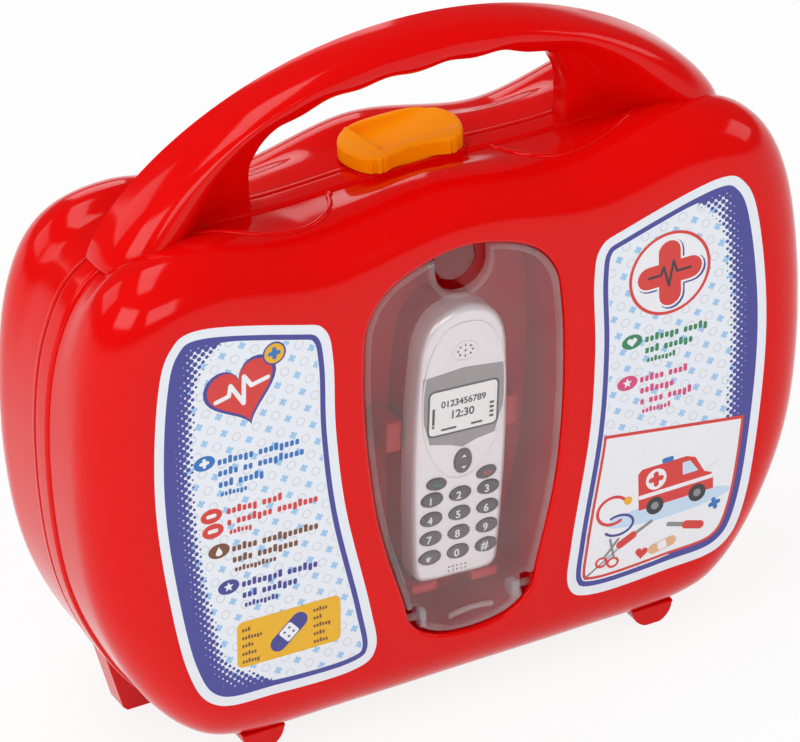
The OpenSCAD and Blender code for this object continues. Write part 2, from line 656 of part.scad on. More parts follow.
mat_top = nav_z + 5.5;
board_top = phone_h - 20.5;
module phone_inside(low, high, y0, y1) difference() {
    intersection() {
        slab(inside, y0, y1);
        block(-phone_w, phone_w, y0 - 1, y1 + 1, low, high);
    }
    for (s = screw_places) bar_y(y0 - 1, y1 + 1, boss_r + 0.3, s[0], s[1]);
}
module phone_key_mat() color([0.3, 0.3, 0.32]) at_phone() phone_inside(keys_z - 3.2, mat_top, mat_y, mat_y + mat_t);
module phone_circuit_board() color(board_green) at_phone() phone_inside(1, board_top, board_y, board_y + board_t);
module phone_sounder() color(yellow) at_phone() bar_y(phone_wall + 0.05, phone_wall + 1.2, sounder_r, 0, sounder_z + 2);
module phone_button_cells() color(steel) at_phone()
    for (z = [battery_z + 9, battery_z + battery_h - 9])
        bar_y(board_y + board_t + 0.2, board_y + board_t + 3.4, cell_r, 0, z);
module phone_screws() color(steel) at_phone() for (s = screw_places) {
    bar_y(phone_wall + 1.4, phone_t - 1, screw_r, s[0], s[1]);
    bar_y(phone_t - 2.2 + 0.02, phone_t - 1, 1.45, s[0], s[1]);
}

front_shell();
rear_shell();
hinge_pin_left();
hinge_pin_right();
latch_slider();
window_door();
phone_tray();
label_left();
label_right();
phone_front_case();
phone_back_case();
phone_display_card();
phone_key_mat();
phone_circuit_board();
phone_sounder();
phone_button_cells();
phone_battery_door();
phone_screws();
key("key_call");  // key_call
key("key_end");  // key_end
key("key_nav");  // key_nav
key("key_1");  // key_1
key("key_2");  // key_2
key("key_3");  // key_3
key("key_4");  // key_4
key("key_5");  // key_5
key("key_6");  // key_6
key("key_7");  // key_7
key("key_8");  // key_8
key("key_9");  // key_9
key("key_star");  // key_star
key("key_0");  // key_0
key("key_hash");  // key_hash
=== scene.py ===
"""Looks of the toy doctor case, built over the frame that the CAD gives."""

import math

import bmesh
import bpy
import numpy as np
from mathutils import Matrix, geometry


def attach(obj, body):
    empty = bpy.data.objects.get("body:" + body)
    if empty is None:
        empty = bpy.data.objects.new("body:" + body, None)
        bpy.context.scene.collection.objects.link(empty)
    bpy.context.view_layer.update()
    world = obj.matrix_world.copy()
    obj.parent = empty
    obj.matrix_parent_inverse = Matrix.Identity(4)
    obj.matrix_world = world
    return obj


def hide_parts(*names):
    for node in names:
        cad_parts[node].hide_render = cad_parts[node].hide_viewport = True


bl_info = {
    "name": "Toy Doctor Case",
    "version": (1, 0, 0),
    "blender": (4, 5, 0),
    "location": "View3D > Sidebar > Toy Case",
    "description": "Builds the looks of a red toy doctor case with a toy phone behind a clear door",
    "category": "Object",
}

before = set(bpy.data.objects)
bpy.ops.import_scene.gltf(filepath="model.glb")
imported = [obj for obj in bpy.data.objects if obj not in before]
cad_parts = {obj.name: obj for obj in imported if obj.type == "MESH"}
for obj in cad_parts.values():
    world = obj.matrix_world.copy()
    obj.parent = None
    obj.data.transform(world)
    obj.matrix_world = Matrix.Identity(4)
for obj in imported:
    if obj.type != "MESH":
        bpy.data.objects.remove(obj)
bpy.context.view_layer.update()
MM = 0.001

# Sizes that the solids have too, in millimetres
FACE_Y = -42.0
BACK_Y = 42.0
BEAD_W = 8.0
BEAD_H = 0.9
SEAM_GAP = 0.2
WALL = 2.2
EDGE_R = 18.0
# The shell's face is drawn this far behind the solid's, so that the labels stand out of it
SUNK = 0.2
FOOT_H = 4.5
TOP_Z = 184.0
SEAM_Z = 180.0
HALF_W = 129.0
BED_Z = SEAM_Z + 0.1
LATCH_X = 2.0
LATCH_MID_Y = 2.8
LATCH_T = 5.8
DOOR_Y = FACE_Y + 1.6
DOOR_T = 1.8
PIVOT_Y = FACE_Y + 4.8
PIVOT_Z = 35.0
PHONE_AT = (-1.2, FACE_Y + 8.0, 42.5)
PHONE_LEAN = math.radians(3.7)
TRAY_BACK = FACE_Y + 30.0
TRAY_WALL = 1.8
# Middle of the round notch in the door's top, where the catch sits
NOTCH_Z = 160.0
# Key: place across, place up, width, height, turn in degrees, printed sign
KEYS = {
    "key_call": (-8.7, 36.2, 7.0, 4.2, -8, ""), "key_end": (9.2, 36.4, 7.0, 4.2, 8, ""),
    "key_nav": (0.5, 42.6, 6.2, 8.6, 0, ""),
}
for row, signs in enumerate((("star", "0", "hash"), "789", "456", "123")):
    for col, sign in enumerate(signs):
        printed = {"star": "*", "hash": "#"}.get(sign, sign)
        KEYS["key_" + sign] = ((col - 1) * 10.1, 9.6 + row * 7.05, 7.6, 4.9, 0, printed)


# Outlines

def smooth(t):
    """Ease from 0 to 1 over that range, and flat past it."""
    t = np.clip(t, 0, 1)
    return t * t * (3 - 2 * t)


def mirrored(half):
    """A closed outline from its right half, listed from the top middle to the bottom middle."""
    return list(half) + [(-x, z) for x, z in half[-2:0:-1]]


def closed_spline(points, k):
    """Smooth closed curve through the points, with k samples from one to the next."""
    p = np.array(points, float)
    a, b, c, d = (q[:, None, :] for q in (np.roll(p, 1, 0), p, np.roll(p, -1, 0), np.roll(p, -2, 0)))
    t = (np.arange(k) / k)[None, :, None]
    out = 0.5 * (2 * b + (c - a) * t + (2 * a - 5 * b + 4 * c - d) * t**2 + (3 * b - a - 3 * c + d) * t**3)
    return out.reshape(-1, 2)


def inset(p, d):
    """The outline moved inwards by d, one distance for all or one for each point."""
    t = np.roll(p, -1, 0) - np.roll(p, 1, 0)
    n = np.stack([-t[:, 1], t[:, 0]], 1) / np.linalg.norm(t, axis=1)[:, None]
    d = np.broadcast_to(np.asarray(d, float), (len(p),))
    return p - d[:, None] * n


def ring(p, y):
    """The flat outline stood up in the plane at y."""
    return np.stack([p[:, 0], np.full(len(p), float(y)), p[:, 1]], 1)


def oval(w, h, n=40):
    """An ellipse as a flat outline."""
    a = np.linspace(0, 2 * np.pi, n, endpoint=False)
    return np.stack([w / 2 * np.sin(a), h / 2 * np.cos(a)], 1)


def rounded_box(w, h, r, n=6):
    """A rectangle with round corners as a flat outline."""
    out = []
    for cx, cz, start in ((w / 2 - r, h / 2 - r, 90), (w / 2 - r, r - h / 2, 0), (r - w / 2, r - h / 2, -90),
                          (r - w / 2, h / 2 - r, -180)):
        for k in range(n + 1):
            a = math.radians(start - 90 * k / n)
            out.append((cx + r * math.cos(a), cz + r * math.sin(a)))
    return np.array(out)


def moved(p, x=0, z=0, turn=0, scale=1):
    """The flat outline scaled, turned by degrees and moved."""
    a = math.radians(turn)
    p = np.asarray(p, float) * scale
    return np.stack([x + p[:, 0] * math.cos(a) - p[:, 1] * math.sin(a),
                     z + p[:, 0] * math.sin(a) + p[:, 1] * math.cos(a)], 1)


SAMPLES = 12
SIDE = [(HALF_W, FOOT_H + 109.5), (HALF_W - 3, FOOT_H + 65.5), (HALF_W - 14, FOOT_H + 33.5),
        (HALF_W - 30.5, FOOT_H + 10), (HALF_W - 50, FOOT_H + 1), (40, FOOT_H), (0, FOOT_H)]


def case_outline(mid, dip, shoulder):
    """The case's outline with its top heights at the middle, beside the latch and at the shoulders."""
    top = [(0, mid), (45, dip), (84, shoulder), (HALF_W - 19, shoulder - 6.5), (HALF_W - 5, shoulder - 29)]
    out = closed_spline(mirrored(top + SIDE), SAMPLES)
    return np.stack([np.clip(out[:, 0], -HALF_W, HALF_W), out[:, 1]], 1)


FRONT_OUT = case_outline(TOP_Z, TOP_Z - 5, TOP_Z + 1)
SEAM_OUT = case_outline(SEAM_Z, SEAM_Z - 1.5, SEAM_Z - 0.5)
REAR_OUT = case_outline(SEAM_Z + 2.5, SEAM_Z - 5, SEAM_Z + 2.5)
WINDOW = closed_spline(mirrored([
    (0, 166.5), (22, 161), (32.7, 150), (35.3, 134), (35.4, 112), (34.2, 93.5), (32.3, 77.5), (29.5, 64),
    (24.3, 45), (21.5, 35), (13, 28.5), (0, 26.6)]), SAMPLES)
PHONE_OUT = closed_spline(mirrored([
    (0, 98), (9, 95), (14.2, 87.5), (15.8, 75), (16.6, 55), (16.5, 35), (15.4, 8), (13.8, 1.5),
    (9, 0), (0, 0)]), 10)
LABEL = closed_spline([
    (46, 140), (48.5, 152), (58, 156.5), (90, 164.5), (101, 160), (106, 144), (108.5, 112), (106.5, 80),
    (100.5, 44), (91, 28.5), (70, 26), (44, 25.5), (35, 31), (36.5, 48), (43.5, 85), (46, 115)], 10)


# Meshes

def loft(rings, closed=False, caps=(True, True)):
    """A skin over rings of the same length, capped unless it closes on itself."""
    n = len(rings[0])
    verts = np.concatenate(rings)
    faces = []
    for j in range(len(rings) if closed else len(rings) - 1):
        k = (j + 1) % len(rings)
        for i in range(n):
            faces.append((j * n + i, j * n + (i + 1) % n, k * n + (i + 1) % n, k * n + i))
    if not closed:
        if caps[0]:
            faces.append(tuple(range(n)))
        if caps[1]:
            faces.append(tuple(range((len(rings) - 1) * n, len(rings) * n)))
    return verts, faces


def join(*parts):
    """Several parts as one."""
    verts, faces, start = [], [], 0
    for v, f in parts:
        verts.append(np.asarray(v, float))
        faces += [tuple(i + start for i in face) for face in f]
        start += len(v)
    return np.concatenate(verts), faces


def edge_rings(p, y0, y1, r0=0.0, r1=0.0, steps=5):
    """Rings of a flat outline made solid from y0 to y1 with rounded edges."""
    rings = []
    s = 1 if y1 > y0 else -1
    for k in range(steps + 1 if r0 else 1):
        a = math.pi / 2 * k / steps
        rings.append(ring(inset(p, r0 * (1 - math.sin(a))), y0 + s * r0 * (1 - math.cos(a))))
    for k in range(steps + 1 if r1 else 1):
        a = math.pi / 2 * k / steps
        rings.append(ring(inset(p, r1 * (1 - math.cos(a))), y1 - s * r1 * (1 - math.sin(a))))
    return rings


def plate(p, y0, y1, r0=0.0, r1=0.0, steps=4):
    """A flat outline made solid, with its edges rounded by r0 and r1."""
    return loft(edge_rings(np.asarray(p, float), y0, y1, r0, r1, steps))


def box_round(x0, x1, y0, y1, z0, z1, r=0.6):
    """A box with all edges rounded."""
    p = moved(rounded_box(x1 - x0, z1 - z0, r), (x0 + x1) / 2, (z0 + z1) / 2)
    return plate(p, y0, y1, r, r, 3)


def barrel(x0, x1, r, y, z, chamfer=0.3, n=40):
    """A round bar along X."""
    a = np.linspace(0, 2 * np.pi, n, endpoint=False)
    rings = [np.stack([np.full(n, x), y + q * np.cos(a), z + q * np.sin(a)], 1)
             for x, q in ((x0, r - chamfer), (x0 + chamfer, r), (x1 - chamfer, r), (x1, r - chamfer))]
    return loft(rings)


def tube(path, radius, n=10):
    """A round rib along a closed path of points in space."""
    path = np.asarray(path, float)
    t = np.roll(path, -1, 0) - np.roll(path, 1, 0)
    t /= np.linalg.norm(t, axis=1)[:, None]
    u = np.cross(t, (0, 1, 0))
    w = np.cross(t, u)
    a = np.linspace(0, 2 * np.pi, n, endpoint=False)
    rings = [path[i] + radius * (np.cos(a)[:, None] * u[i] + np.sin(a)[:, None] * w[i])
             for i in range(len(path))]
    return loft(rings, closed=True)


def mirror_x(part):
    """The same part on the other side of the case."""
    v, f = part
    v = np.asarray(v, float).copy()
    v[:, 0] *= -1
    return v, [tuple(reversed(face)) for face in f]


def phone_place(part):
    """Put a part drawn in the phone's own frame into the case, with the phone's lean."""
    v, f = part
    v = np.asarray(v, float)
    c, s = math.cos(PHONE_LEAN), math.sin(PHONE_LEAN)
    out = np.stack([v[:, 0] * c + v[:, 2] * s, v[:, 1], v[:, 2] * c - v[:, 0] * s], 1)
    return out + np.array(PHONE_AT), f


def new_object(name, part, merge=0.0):
    """A mesh object of a part in millimetres. Points closer than merge become one."""
    verts, faces = part
    mesh = bpy.data.meshes.new(name)
    mesh.from_pydata((np.asarray(verts, float) * MM).tolist(), [], faces)
    bm = bmesh.new()
    bm.from_mesh(mesh)
    if merge:
        bmesh.ops.remove_doubles(bm, verts=bm.verts, dist=merge * MM)
    bmesh.ops.recalc_face_normals(bm, faces=bm.faces)
    bm.to_mesh(mesh)
    bm.free()
    obj = bpy.data.objects.new(name, mesh)
    bpy.context.scene.collection.objects.link(obj)
    return obj


def boolean(obj, parts, operation="DIFFERENCE"):
    """Cut parts out of an object or join them to it, one after the other."""
    tools = [new_object("tool", part) for part in parts]
    for c in tools:
        m = obj.modifiers.new("cut", "BOOLEAN")
        m.operation = operation
        m.solver = "EXACT"
        m.object = c
    graph = bpy.context.evaluated_depsgraph_get()
    mesh = bpy.data.meshes.new_from_object(obj.evaluated_get(graph))
    obj.modifiers.clear()
    obj.data = mesh
    for c in tools:
        bpy.data.objects.remove(c)


def finish_piece(obj, body, materials, sharp=32, replaces=(), flat=False):
    """Smooth shading with sharp edges, the material, and the body that the piece rides on. With flat
    set, large flat faces keep their own normal and pass it to the edge that they share."""
    bm = bmesh.new()
    bm.from_mesh(obj.data)
    limit = math.radians(sharp)
    for f in bm.faces:
        f.smooth = True
    for e in bm.edges:
        e.smooth = len(e.link_faces) == 2 and e.calc_face_angle(0) < limit
    bm.to_mesh(obj.data)
    bm.free()
    if flat:
        m = obj.modifiers.new("normals", "WEIGHTED_NORMAL")
        m.keep_sharp = True
        graph = bpy.context.evaluated_depsgraph_get()
        mesh = bpy.data.meshes.new_from_object(obj.evaluated_get(graph))
        obj.modifiers.clear()
        obj.data = mesh
    if not isinstance(materials, (list, tuple)):
        materials = [materials]
    obj.data.materials.clear()
    for m in materials:
        obj.data.materials.append(m)
    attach(obj, body)
    if replaces:
        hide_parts(*replaces)
    return obj


def piece(name, part, body, material, sharp=32, replaces=(), merge=0.0):
    """A finished piece of a part."""
    return finish_piece(new_object(name, part, merge), body, material, sharp, replaces)


# Colours and materials

def linear(hex_colour):
    """Linear RGBA from an sRGB hex value."""
    h = hex_colour.lstrip("#")
    out = []
    for i in (0, 2, 4):
        c = int(h[i:i + 2], 16) / 255
        out.append(c / 12.92 if c <= 0.04045 else ((c + 0.055) / 1.055) ** 2.4)
    return (*out, 1.0)


def add(mat, kind, settings=None, links=None, **inputs):
    """Add a shader node with its settings and socket values. A socket in links is given a value, or is
    joined to a (node, output) pair. The kind is its type without the word that all of them start with."""
    node = mat.node_tree.nodes.new("ShaderNode" + kind)
    for key, value in (settings or {}).items():
        setattr(node, key, value)
    for key, value in inputs.items():
        node.inputs[key.replace("_", " ")].default_value = value
    for key, value in (links or {}).items():
        if isinstance(value, tuple) and isinstance(value[0], bpy.types.Node):
            mat.node_tree.links.new(value[0].outputs[value[1]], node.inputs[key])
        else:
            node.inputs[key].default_value = value
    return node


def new_material(name):
    """A material with an empty node tree."""
    mat = bpy.data.materials.new(name)
    mat.use_nodes = True
    mat.node_tree.nodes.clear()
    return mat


def moulded_plastic(name, colour, shade, rough, grain_mm=0.9, bump=0.04, specular=0.5, subsurface=0.0):
    """A moulded plastic: a base colour that varies a little over centimetres, and a fine ripple of
    the mould's skin. The ripple is drawn at grain_mm."""
    mat = new_material(name)
    place = (add(mat, "TexCoord"), "Object")
    cloud = add(mat, "TexNoise", Scale=1 / (45 * MM), Detail=2.0, links={"Vector": place})
    tint = add(mat, "Mix", {"data_type": "RGBA"},
               links={"Factor": (cloud, "Fac"), "A": linear(colour), "B": linear(shade)})
    skin = add(mat, "TexNoise", Scale=1 / (grain_mm * MM), Detail=3.0, links={"Vector": place})
    wave = add(mat, "TexNoise", Scale=1 / (14 * MM), Detail=1.0, links={"Vector": place})
    both = add(mat, "Math", {"operation": "MULTIPLY_ADD"}, links={0: (wave, "Fac"), 1: 6.0, 2: (skin, "Fac")})
    ripple = add(mat, "Bump", Strength=bump, Distance=0.08 * MM, links={"Height": (both, "Value")})
    gloss = add(mat, "MapRange", From_Min=0.3, From_Max=0.7, To_Min=rough * 0.85, To_Max=rough * 1.2,
                links={"Value": (cloud, "Fac")})
    shader = add(mat, "BsdfPrincipled", IOR=1.5, Specular_IOR_Level=specular, Subsurface_Weight=subsurface,
                 Subsurface_Scale=1.5 * MM,
                 links={"Base Color": (tint, "Result"), "Roughness": (gloss, "Result"),
                        "Normal": (ripple, "Normal")})
    add(mat, "OutputMaterial", links={"Surface": (shader, "BSDF")})
    return mat


def coated_metal(name, colour, shade, rough, metallic, grain_mm):
    """Metal or metallic lacquer with a flake or brushed grain at grain_mm."""
    mat = new_material(name)
    place = (add(mat, "TexCoord"), "Object")
    flake = add(mat, "TexNoise", Scale=1 / (grain_mm * MM), Detail=2.0, links={"Vector": place})
    tint = add(mat, "Mix", {"data_type": "RGBA"},
               links={"Factor": (flake, "Fac"), "A": linear(colour), "B": linear(shade)})
    ripple = add(mat, "Bump", Strength=0.05, Distance=0.05 * MM, links={"Height": (flake, "Fac")})
    gloss = add(mat, "MapRange", From_Min=0.3, From_Max=0.7, To_Min=rough * 0.8, To_Max=rough * 1.2,
                links={"Value": (flake, "Fac")})
    shader = add(mat, "BsdfPrincipled", Metallic=metallic,
                 links={"Base Color": (tint, "Result"), "Roughness": (gloss, "Result"),
                        "Normal": (ripple, "Normal")})
    add(mat, "OutputMaterial", links={"Surface": (shader, "BSDF")})
    return mat


def clear_plastic(name, haze, tint="#FDFCFD", milk="#F4EEF0"):
    """Clear polystyrene: sharp reflections on the outer faces, and a little milky haze."""
    mat = new_material(name)
    place = (add(mat, "TexCoord"), "Object")
    smear = add(mat, "TexNoise", Scale=1 / (30 * MM), Detail=3.0, links={"Vector": place})
    veil = add(mat, "MapRange", From_Min=0.3, From_Max=0.7, To_Min=haze * 0.7, To_Max=haze * 1.3,
               links={"Value": (smear, "Fac")})
    clear = add(mat, "BsdfTransparent", Color=linear(tint))
    fog = add(mat, "BsdfDiffuse", Color=linear(milk))
    body = add(mat, "MixShader", links={0: (veil, "Result"), 1: (clear, "BSDF"), 2: (fog, "BSDF")})
    polish = add(mat, "BsdfGlossy", Color=(1, 1, 1, 1), Roughness=0.05)
    edge = add(mat, "Fresnel", IOR=1.4)
    side = add(mat, "NewGeometry")
    outer = add(mat, "Math", {"operation": "MULTIPLY_ADD"}, links={0: (side, "Backfacing"), 1: -1.0, 2: 1.0})
    share = add(mat, "Math", {"operation": "MULTIPLY"}, links={0: (edge, "Fac"), 1: (outer, "Value")})
    shader = add(mat, "MixShader", links={0: (share, "Value"), 1: (body, "Shader"), 2: (polish, "BSDF")})
    add(mat, "OutputMaterial", links={"Surface": (shader, "Shader")})
    return mat


def printed_film(name):
    """Laminated print: a white edge, a blue-violet line that is broad at the outer side and breaks up
    into dots there, and a pale field with small light blue crosses and paler rings. The distance to the
    label's edge in millimetres and the broadness from 0 to 1 are stored on the mesh."""
    mat = new_material(name)
    c = bpy.context.scene.case_colours
    xyz = add(mat, "SeparateXYZ", links={"Vector": (add(mat, "TexCoord"), "Object")})
    known = {"x": (xyz, "X"), "z": (xyz, "Z")}
    for key in ("edge_mm", "broad"):
        known[key] = (add(mat, "Attribute", {"attribute_name": key}), "Fac")
    # Sizes of the print in millimetres
    line_start, line_width, line_growth = 3.2, 1.8, 2.1
    dot_pitch, dot_radius, dot_reach = 1.9, 1.25, 10.5
    cross_across, cross_up, cross_half, arm_half = 7.2, 6.8, 1.35, 0.55
    ring_radius, ring_half, field_start = 1.45, 0.2, 5.4
    lean, half_turn = 0.24, math.sqrt(0.5)

    def cell(target, along, pitch, shift):
        """Steps for the distance from the middle of a cell of a pattern with this pitch."""
        return [(target, "DIVIDE", along, pitch), (target, "ADD", target, shift), (target, "FRACT", target),
                (target, "SUBTRACT", target, 0.5), (target, "ABSOLUTE", target),
                (target, "MULTIPLY", target, pitch)]

    def distance(target, a, b):
        """Steps for the length of the diagonal over two sides."""
        return [("a2", "MULTIPLY", a, a), ("b2", "MULTIPLY", b, b), (target, "ADD", "a2", "b2"),
                (target, "SQRT", target)]

    # Each step names its result, the operation and what goes in: earlier results or numbers
    steps = [
        ("x", "DIVIDE", "x", MM), ("z", "DIVIDE", "z", MM),
        # The line, which grows with the broadness
        ("width", "MULTIPLY", "broad", line_growth), ("width", "ADD", "width", line_width),
        ("line_end", "ADD", "width", line_start), ("line", "GREATER_THAN", "edge_mm", line_start),
        ("before_end", "LESS_THAN", "edge_mm", "line_end"), ("line", "MULTIPLY", "line", "before_end"),
        # Dots past the line, which shrink inwards, on a square mesh turned by half a right angle
        ("u", "ADD", "x", "z"), ("u", "MULTIPLY", "u", half_turn),
        ("v", "SUBTRACT", "x", "z"), ("v", "MULTIPLY", "v", half_turn),
        *cell("u", "u", dot_pitch, 0.0), *cell("v", "v", dot_pitch, 0.0), *distance("from_dot", "u", "v"),
        ("past", "SUBTRACT", "edge_mm", "line_end"), ("reach", "MULTIPLY", "broad", dot_reach),
        ("reach", "MAXIMUM", "reach", 0.01), ("fade", "DIVIDE", "past", "reach"),
        ("fade", "SUBTRACT", 1.0, "fade"),
        ("fade", "MAXIMUM", "fade", 0.0), ("radius", "POWER", "fade", 0.7),
        ("radius", "MULTIPLY", "radius", dot_radius),
        ("dots", "LESS_THAN", "from_dot", "radius"), ("is_past", "GREATER_THAN", "past", -0.01),
        ("dots", "MULTIPLY", "dots", "is_past"), ("is_broad", "GREATER_THAN", "broad", 0.15),
        ("dots", "MULTIPLY", "dots", "is_broad"), ("line", "MAXIMUM", "line", "dots"),
        # Crosses on a leaning mesh, and rings halfway between them
        ("tilt", "MULTIPLY", "z", lean), ("across", "ADD", "x", "tilt"),
        ("tilt", "MULTIPLY", "x", lean), ("up", "SUBTRACT", "z", "tilt"),
        *cell("cross_x", "across", cross_across, 0.0), *cell("cross_z", "up", cross_up, 0.0),
        *cell("ring_x", "across", cross_across, 0.5), *cell("ring_z", "up", cross_up, 0.5),
        *distance("from_ring", "ring_x", "ring_z"), ("from_ring", "SUBTRACT", "from_ring", ring_radius),
        ("from_ring", "ABSOLUTE", "from_ring"), ("rings", "LESS_THAN", "from_ring", ring_half),
        ("in_field", "GREATER_THAN", "edge_mm", field_start), ("rings", "MULTIPLY", "rings", "in_field"),
        ("long_x", "LESS_THAN", "cross_x", cross_half), ("thin_z", "LESS_THAN", "cross_z", arm_half),
        ("bar", "MULTIPLY", "long_x", "thin_z"), ("long_z", "LESS_THAN", "cross_z", cross_half),
        ("thin_x", "LESS_THAN", "cross_x", arm_half), ("post", "MULTIPLY", "long_z", "thin_x"),
        ("cross", "MAXIMUM", "bar", "post"), ("cross", "MULTIPLY", "cross", "in_field"),
    ]
    for target, operation, *terms in steps:
        sockets = {place: known.get(term, term) for place, term in enumerate(terms)}
        known[target] = (add(mat, "Math", {"operation": operation}, links=sockets), "Value")
    paint = linear(c.label_white)
    for mask, colour in (("rings", "#D2D5DE"), ("cross", c.label_pale_blue), ("line", c.label_blue)):
        layer = add(mat, "Mix", {"data_type": "RGBA"},
                    links={"Factor": known[mask], "A": paint, "B": linear(colour)})
        paint = (layer, "Result")
    shader = add(mat, "BsdfPrincipled", Roughness=0.32, IOR=1.5, links={"Base Color": paint})
    add(mat, "OutputMaterial", links={"Surface": (shader, "BSDF")})
    return mat


def ink(name, colour, rough=0.35):
    """Printing ink on film: flat, a touch uneven where the screen laid it down."""
    mat = new_material(name)
    place = (add(mat, "TexCoord"), "Object")
    grain = add(mat, "TexNoise", Scale=1 / (0.8 * MM), Detail=2.0, links={"Vector": place})
    thin = (*(0.9 * c for c in linear(colour)[:3]), 1.0)
    tint = add(mat, "Mix", {"data_type": "RGBA"},
               links={"Factor": (grain, "Fac"), "A": linear(colour), "B": thin})
    shader = add(mat, "BsdfPrincipled", Roughness=rough, IOR=1.5, links={"Base Color": (tint, "Result")})
    add(mat, "OutputMaterial", links={"Surface": (shader, "BSDF")})
    return mat


def material(name):
    """The named material, made when it is first asked for."""
    if name in bpy.data.materials:
        return bpy.data.materials[name]
    c = bpy.context.scene.case_colours
    makers = {
        # Polypropylene from a polished mould: clean soft-edged reflections, faint sink ripples
        "moulded_polypropylene_red": lambda n: moulded_plastic(n, c.shell_red, c.shell_red_deep, 0.11,
                                                               bump=0.025, specular=0.22),
        # ABS of the insert: a deeper red, as glossy
        "moulded_abs_red": lambda n: moulded_plastic(n, c.tray_red, c.tray_red, 0.18, bump=0.03,
                                                     specular=0.35),
        # The catch's ABS: red, darkened into a painted shade for the dim notch behind the door, and highly
        # polished
        "moulded_abs_dark_red": lambda n: moulded_plastic(n, "#7A0A0C", "#6A0A0C", 0.06, bump=0.02,
                                                          specular=0.9),
        # ABS from a satin mould: broad highlights, warm yellow in the thin edges
        "moulded_abs_yellow": lambda n: moulded_plastic(n, c.latch_yellow, c.latch_orange, 0.3, bump=0.05,
                                                        specular=0.07, subsurface=0.1),
        # Fine-grained ABS of the phone's keys: dull, with a grain of 0.35 mm
        "grained_abs_grey": lambda n: moulded_plastic(n, c.key_grey, c.key_dark, 0.5, grain_mm=0.35,
                                                      bump=0.12),
        # Silicone rubber: dark and dull
        "moulded_silicone_rubber": lambda n: moulded_plastic(n, "#3A3A3E", "#2C2C30", 0.65, grain_mm=0.5,
                                                             bump=0.1),
        # Glass-fibre board under green solder mask
        "solder_masked_board": lambda n: moulded_plastic(n, "#1F6B3C", "#174F2D", 0.35, grain_mm=0.4,
                                                         bump=0.1),
        # Silver lacquer with fine metal flake over ABS
        "silver_lacquered_abs": lambda n: coated_metal(n, c.phone_silver, c.phone_shade, 0.32, 0.35, 0.25),
        # Zinc-plated drawn wire: bright, fine streaks
        "zinc_plated_steel": lambda n: coated_metal(n, "#B9BBC0", "#9A9CA2", 0.28, 1.0, 0.4),
        # Stamped brass disc
        "stamped_brass": lambda n: coated_metal(n, "#C9A656", "#A98540", 0.3, 1.0, 0.5),
        # Nickel-plated steel can
        "nickel_plated_steel": lambda n: coated_metal(n, "#CFCFD0", "#B5B5B8", 0.18, 1.0, 0.6),
        # Clear polystyrene door: a slight white haze
        "clear_polystyrene": lambda n: clear_plastic(n, c.door_haze),
        # The same with more haze, used where the door is thick or bent: a painted highlight, whitish lines
        # that stand for light caught on its rim
        "clear_polystyrene_edge": lambda n: clear_plastic(n, 0.11),
        # Labels: printed film under a smooth laminate
        "laminated_print": printed_film,
        # Screen-printing inks: flat and slightly uneven
        "ink_red": lambda n: ink(n, "#D93A34"),
        "ink_blue": lambda n: ink(n, "#2F74BE"),
        "ink_violet": lambda n: ink(n, c.label_blue),
        "ink_brown": lambda n: ink(n, "#7A4A2E"),
        "ink_green": lambda n: ink(n, "#2E8757"),
        "ink_pink": lambda n: ink(n, "#D8487C"),
        "ink_yellow": lambda n: ink(n, "#EDB41C"),
        "ink_white": lambda n: ink(n, "#EFF0F4"),
        "ink_grey": lambda n: ink(n, "#8E8C8E"),
        "ink_dark": lambda n: ink(n, "#35343A"),
        "ink_skin": lambda n: ink(n, "#E5B48A"),
        "ink_pale": lambda n: ink(n, "#C8DDF2"),
        # Card of the phone's display, printed and varnished: sharper reflections than the bare ink
        "varnished_display": lambda n: ink(n, c.display_grey, 0.2),
        "varnished_glass_print": lambda n: ink(n, c.display_pale, 0.15),
    }
    return makers[name](name)


def dress(node, name):
    """Give a CAD node its material."""
    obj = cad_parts[node]
    obj.data.materials.clear()
    obj.data.materials.append(material(name))


# Shells

def edge_share(p):
    """The front edge is rounded less over the window, which reaches up near the top edge."""
    near = 1 - smooth((np.abs(p[:, 0]) - 16) / 40)
    return np.where(p[:, 1] < 100, 1.0, 1 - 0.24 * near)


def front_level(y):
    """Outline of the front half at y, between the seam's and the face's."""
    w = float(smooth((-y - BEAD_W) / 14))
    return SEAM_OUT * (1 - w) + FRONT_OUT * w


def rear_level(y):
    """Outline of the rear half at y."""
    w = float(smooth((y - 14) / 9))
    return SEAM_OUT * (1 - w) + REAR_OUT * w


def arc_steps(r, steps):
    """Inset and depth along a quarter round, from the face outwards."""
    return [(r * (1 - math.sin(math.pi / 2 * k / steps)), r * (1 - math.cos(math.pi / 2 * k / steps)))
            for k in range(steps + 1)]


def bead_profile():
    """Height and place of the rounded bead round the front shell's rim, from its front foot to the seam."""
    out = []
    for k in range(7):
        a = math.pi / 2 * k / 6
        out.append((BEAD_H * (1 - math.sin(a)), -BEAD_W - 0.2 + 1.4 * (1 - math.cos(a))))
    out += [(0.0, -4.0), (0.0, -1.4)]
    for k in range(1, 5):
        a = math.pi / 2 * k / 4
        out.append((0.9 * (1 - math.cos(a)), -1.4 + 1.3 * math.sin(a)))
    return out


def front_skin():
    """The front half's wall, from its rounded face over the rim's bead and back inside."""
    f = edge_share(FRONT_OUT)
    rings = [ring(inset(FRONT_OUT, e * f + BEAD_H), FACE_Y + SUNK + d * (1 - SUNK / EDGE_R))
             for e, d in arc_steps(EDGE_R, 14)]
    rings += [ring(inset(front_level(y), BEAD_H), y) for y in np.linspace(-21, -BEAD_W - 0.3, 7)]
    rings += [ring(inset(SEAM_OUT, d), y) for d, y in bead_profile()]
    rings += [ring(inset(front_level(y), WALL + BEAD_H), y) for y in (-SEAM_GAP / 2, -BEAD_W, -16)]
    inner = [ring(inset(FRONT_OUT, e * f + WALL + BEAD_H), FACE_Y + WALL + d)
             for e, d in arc_steps(EDGE_R - WALL, 5)]
    return loft(rings + inner[::-1])


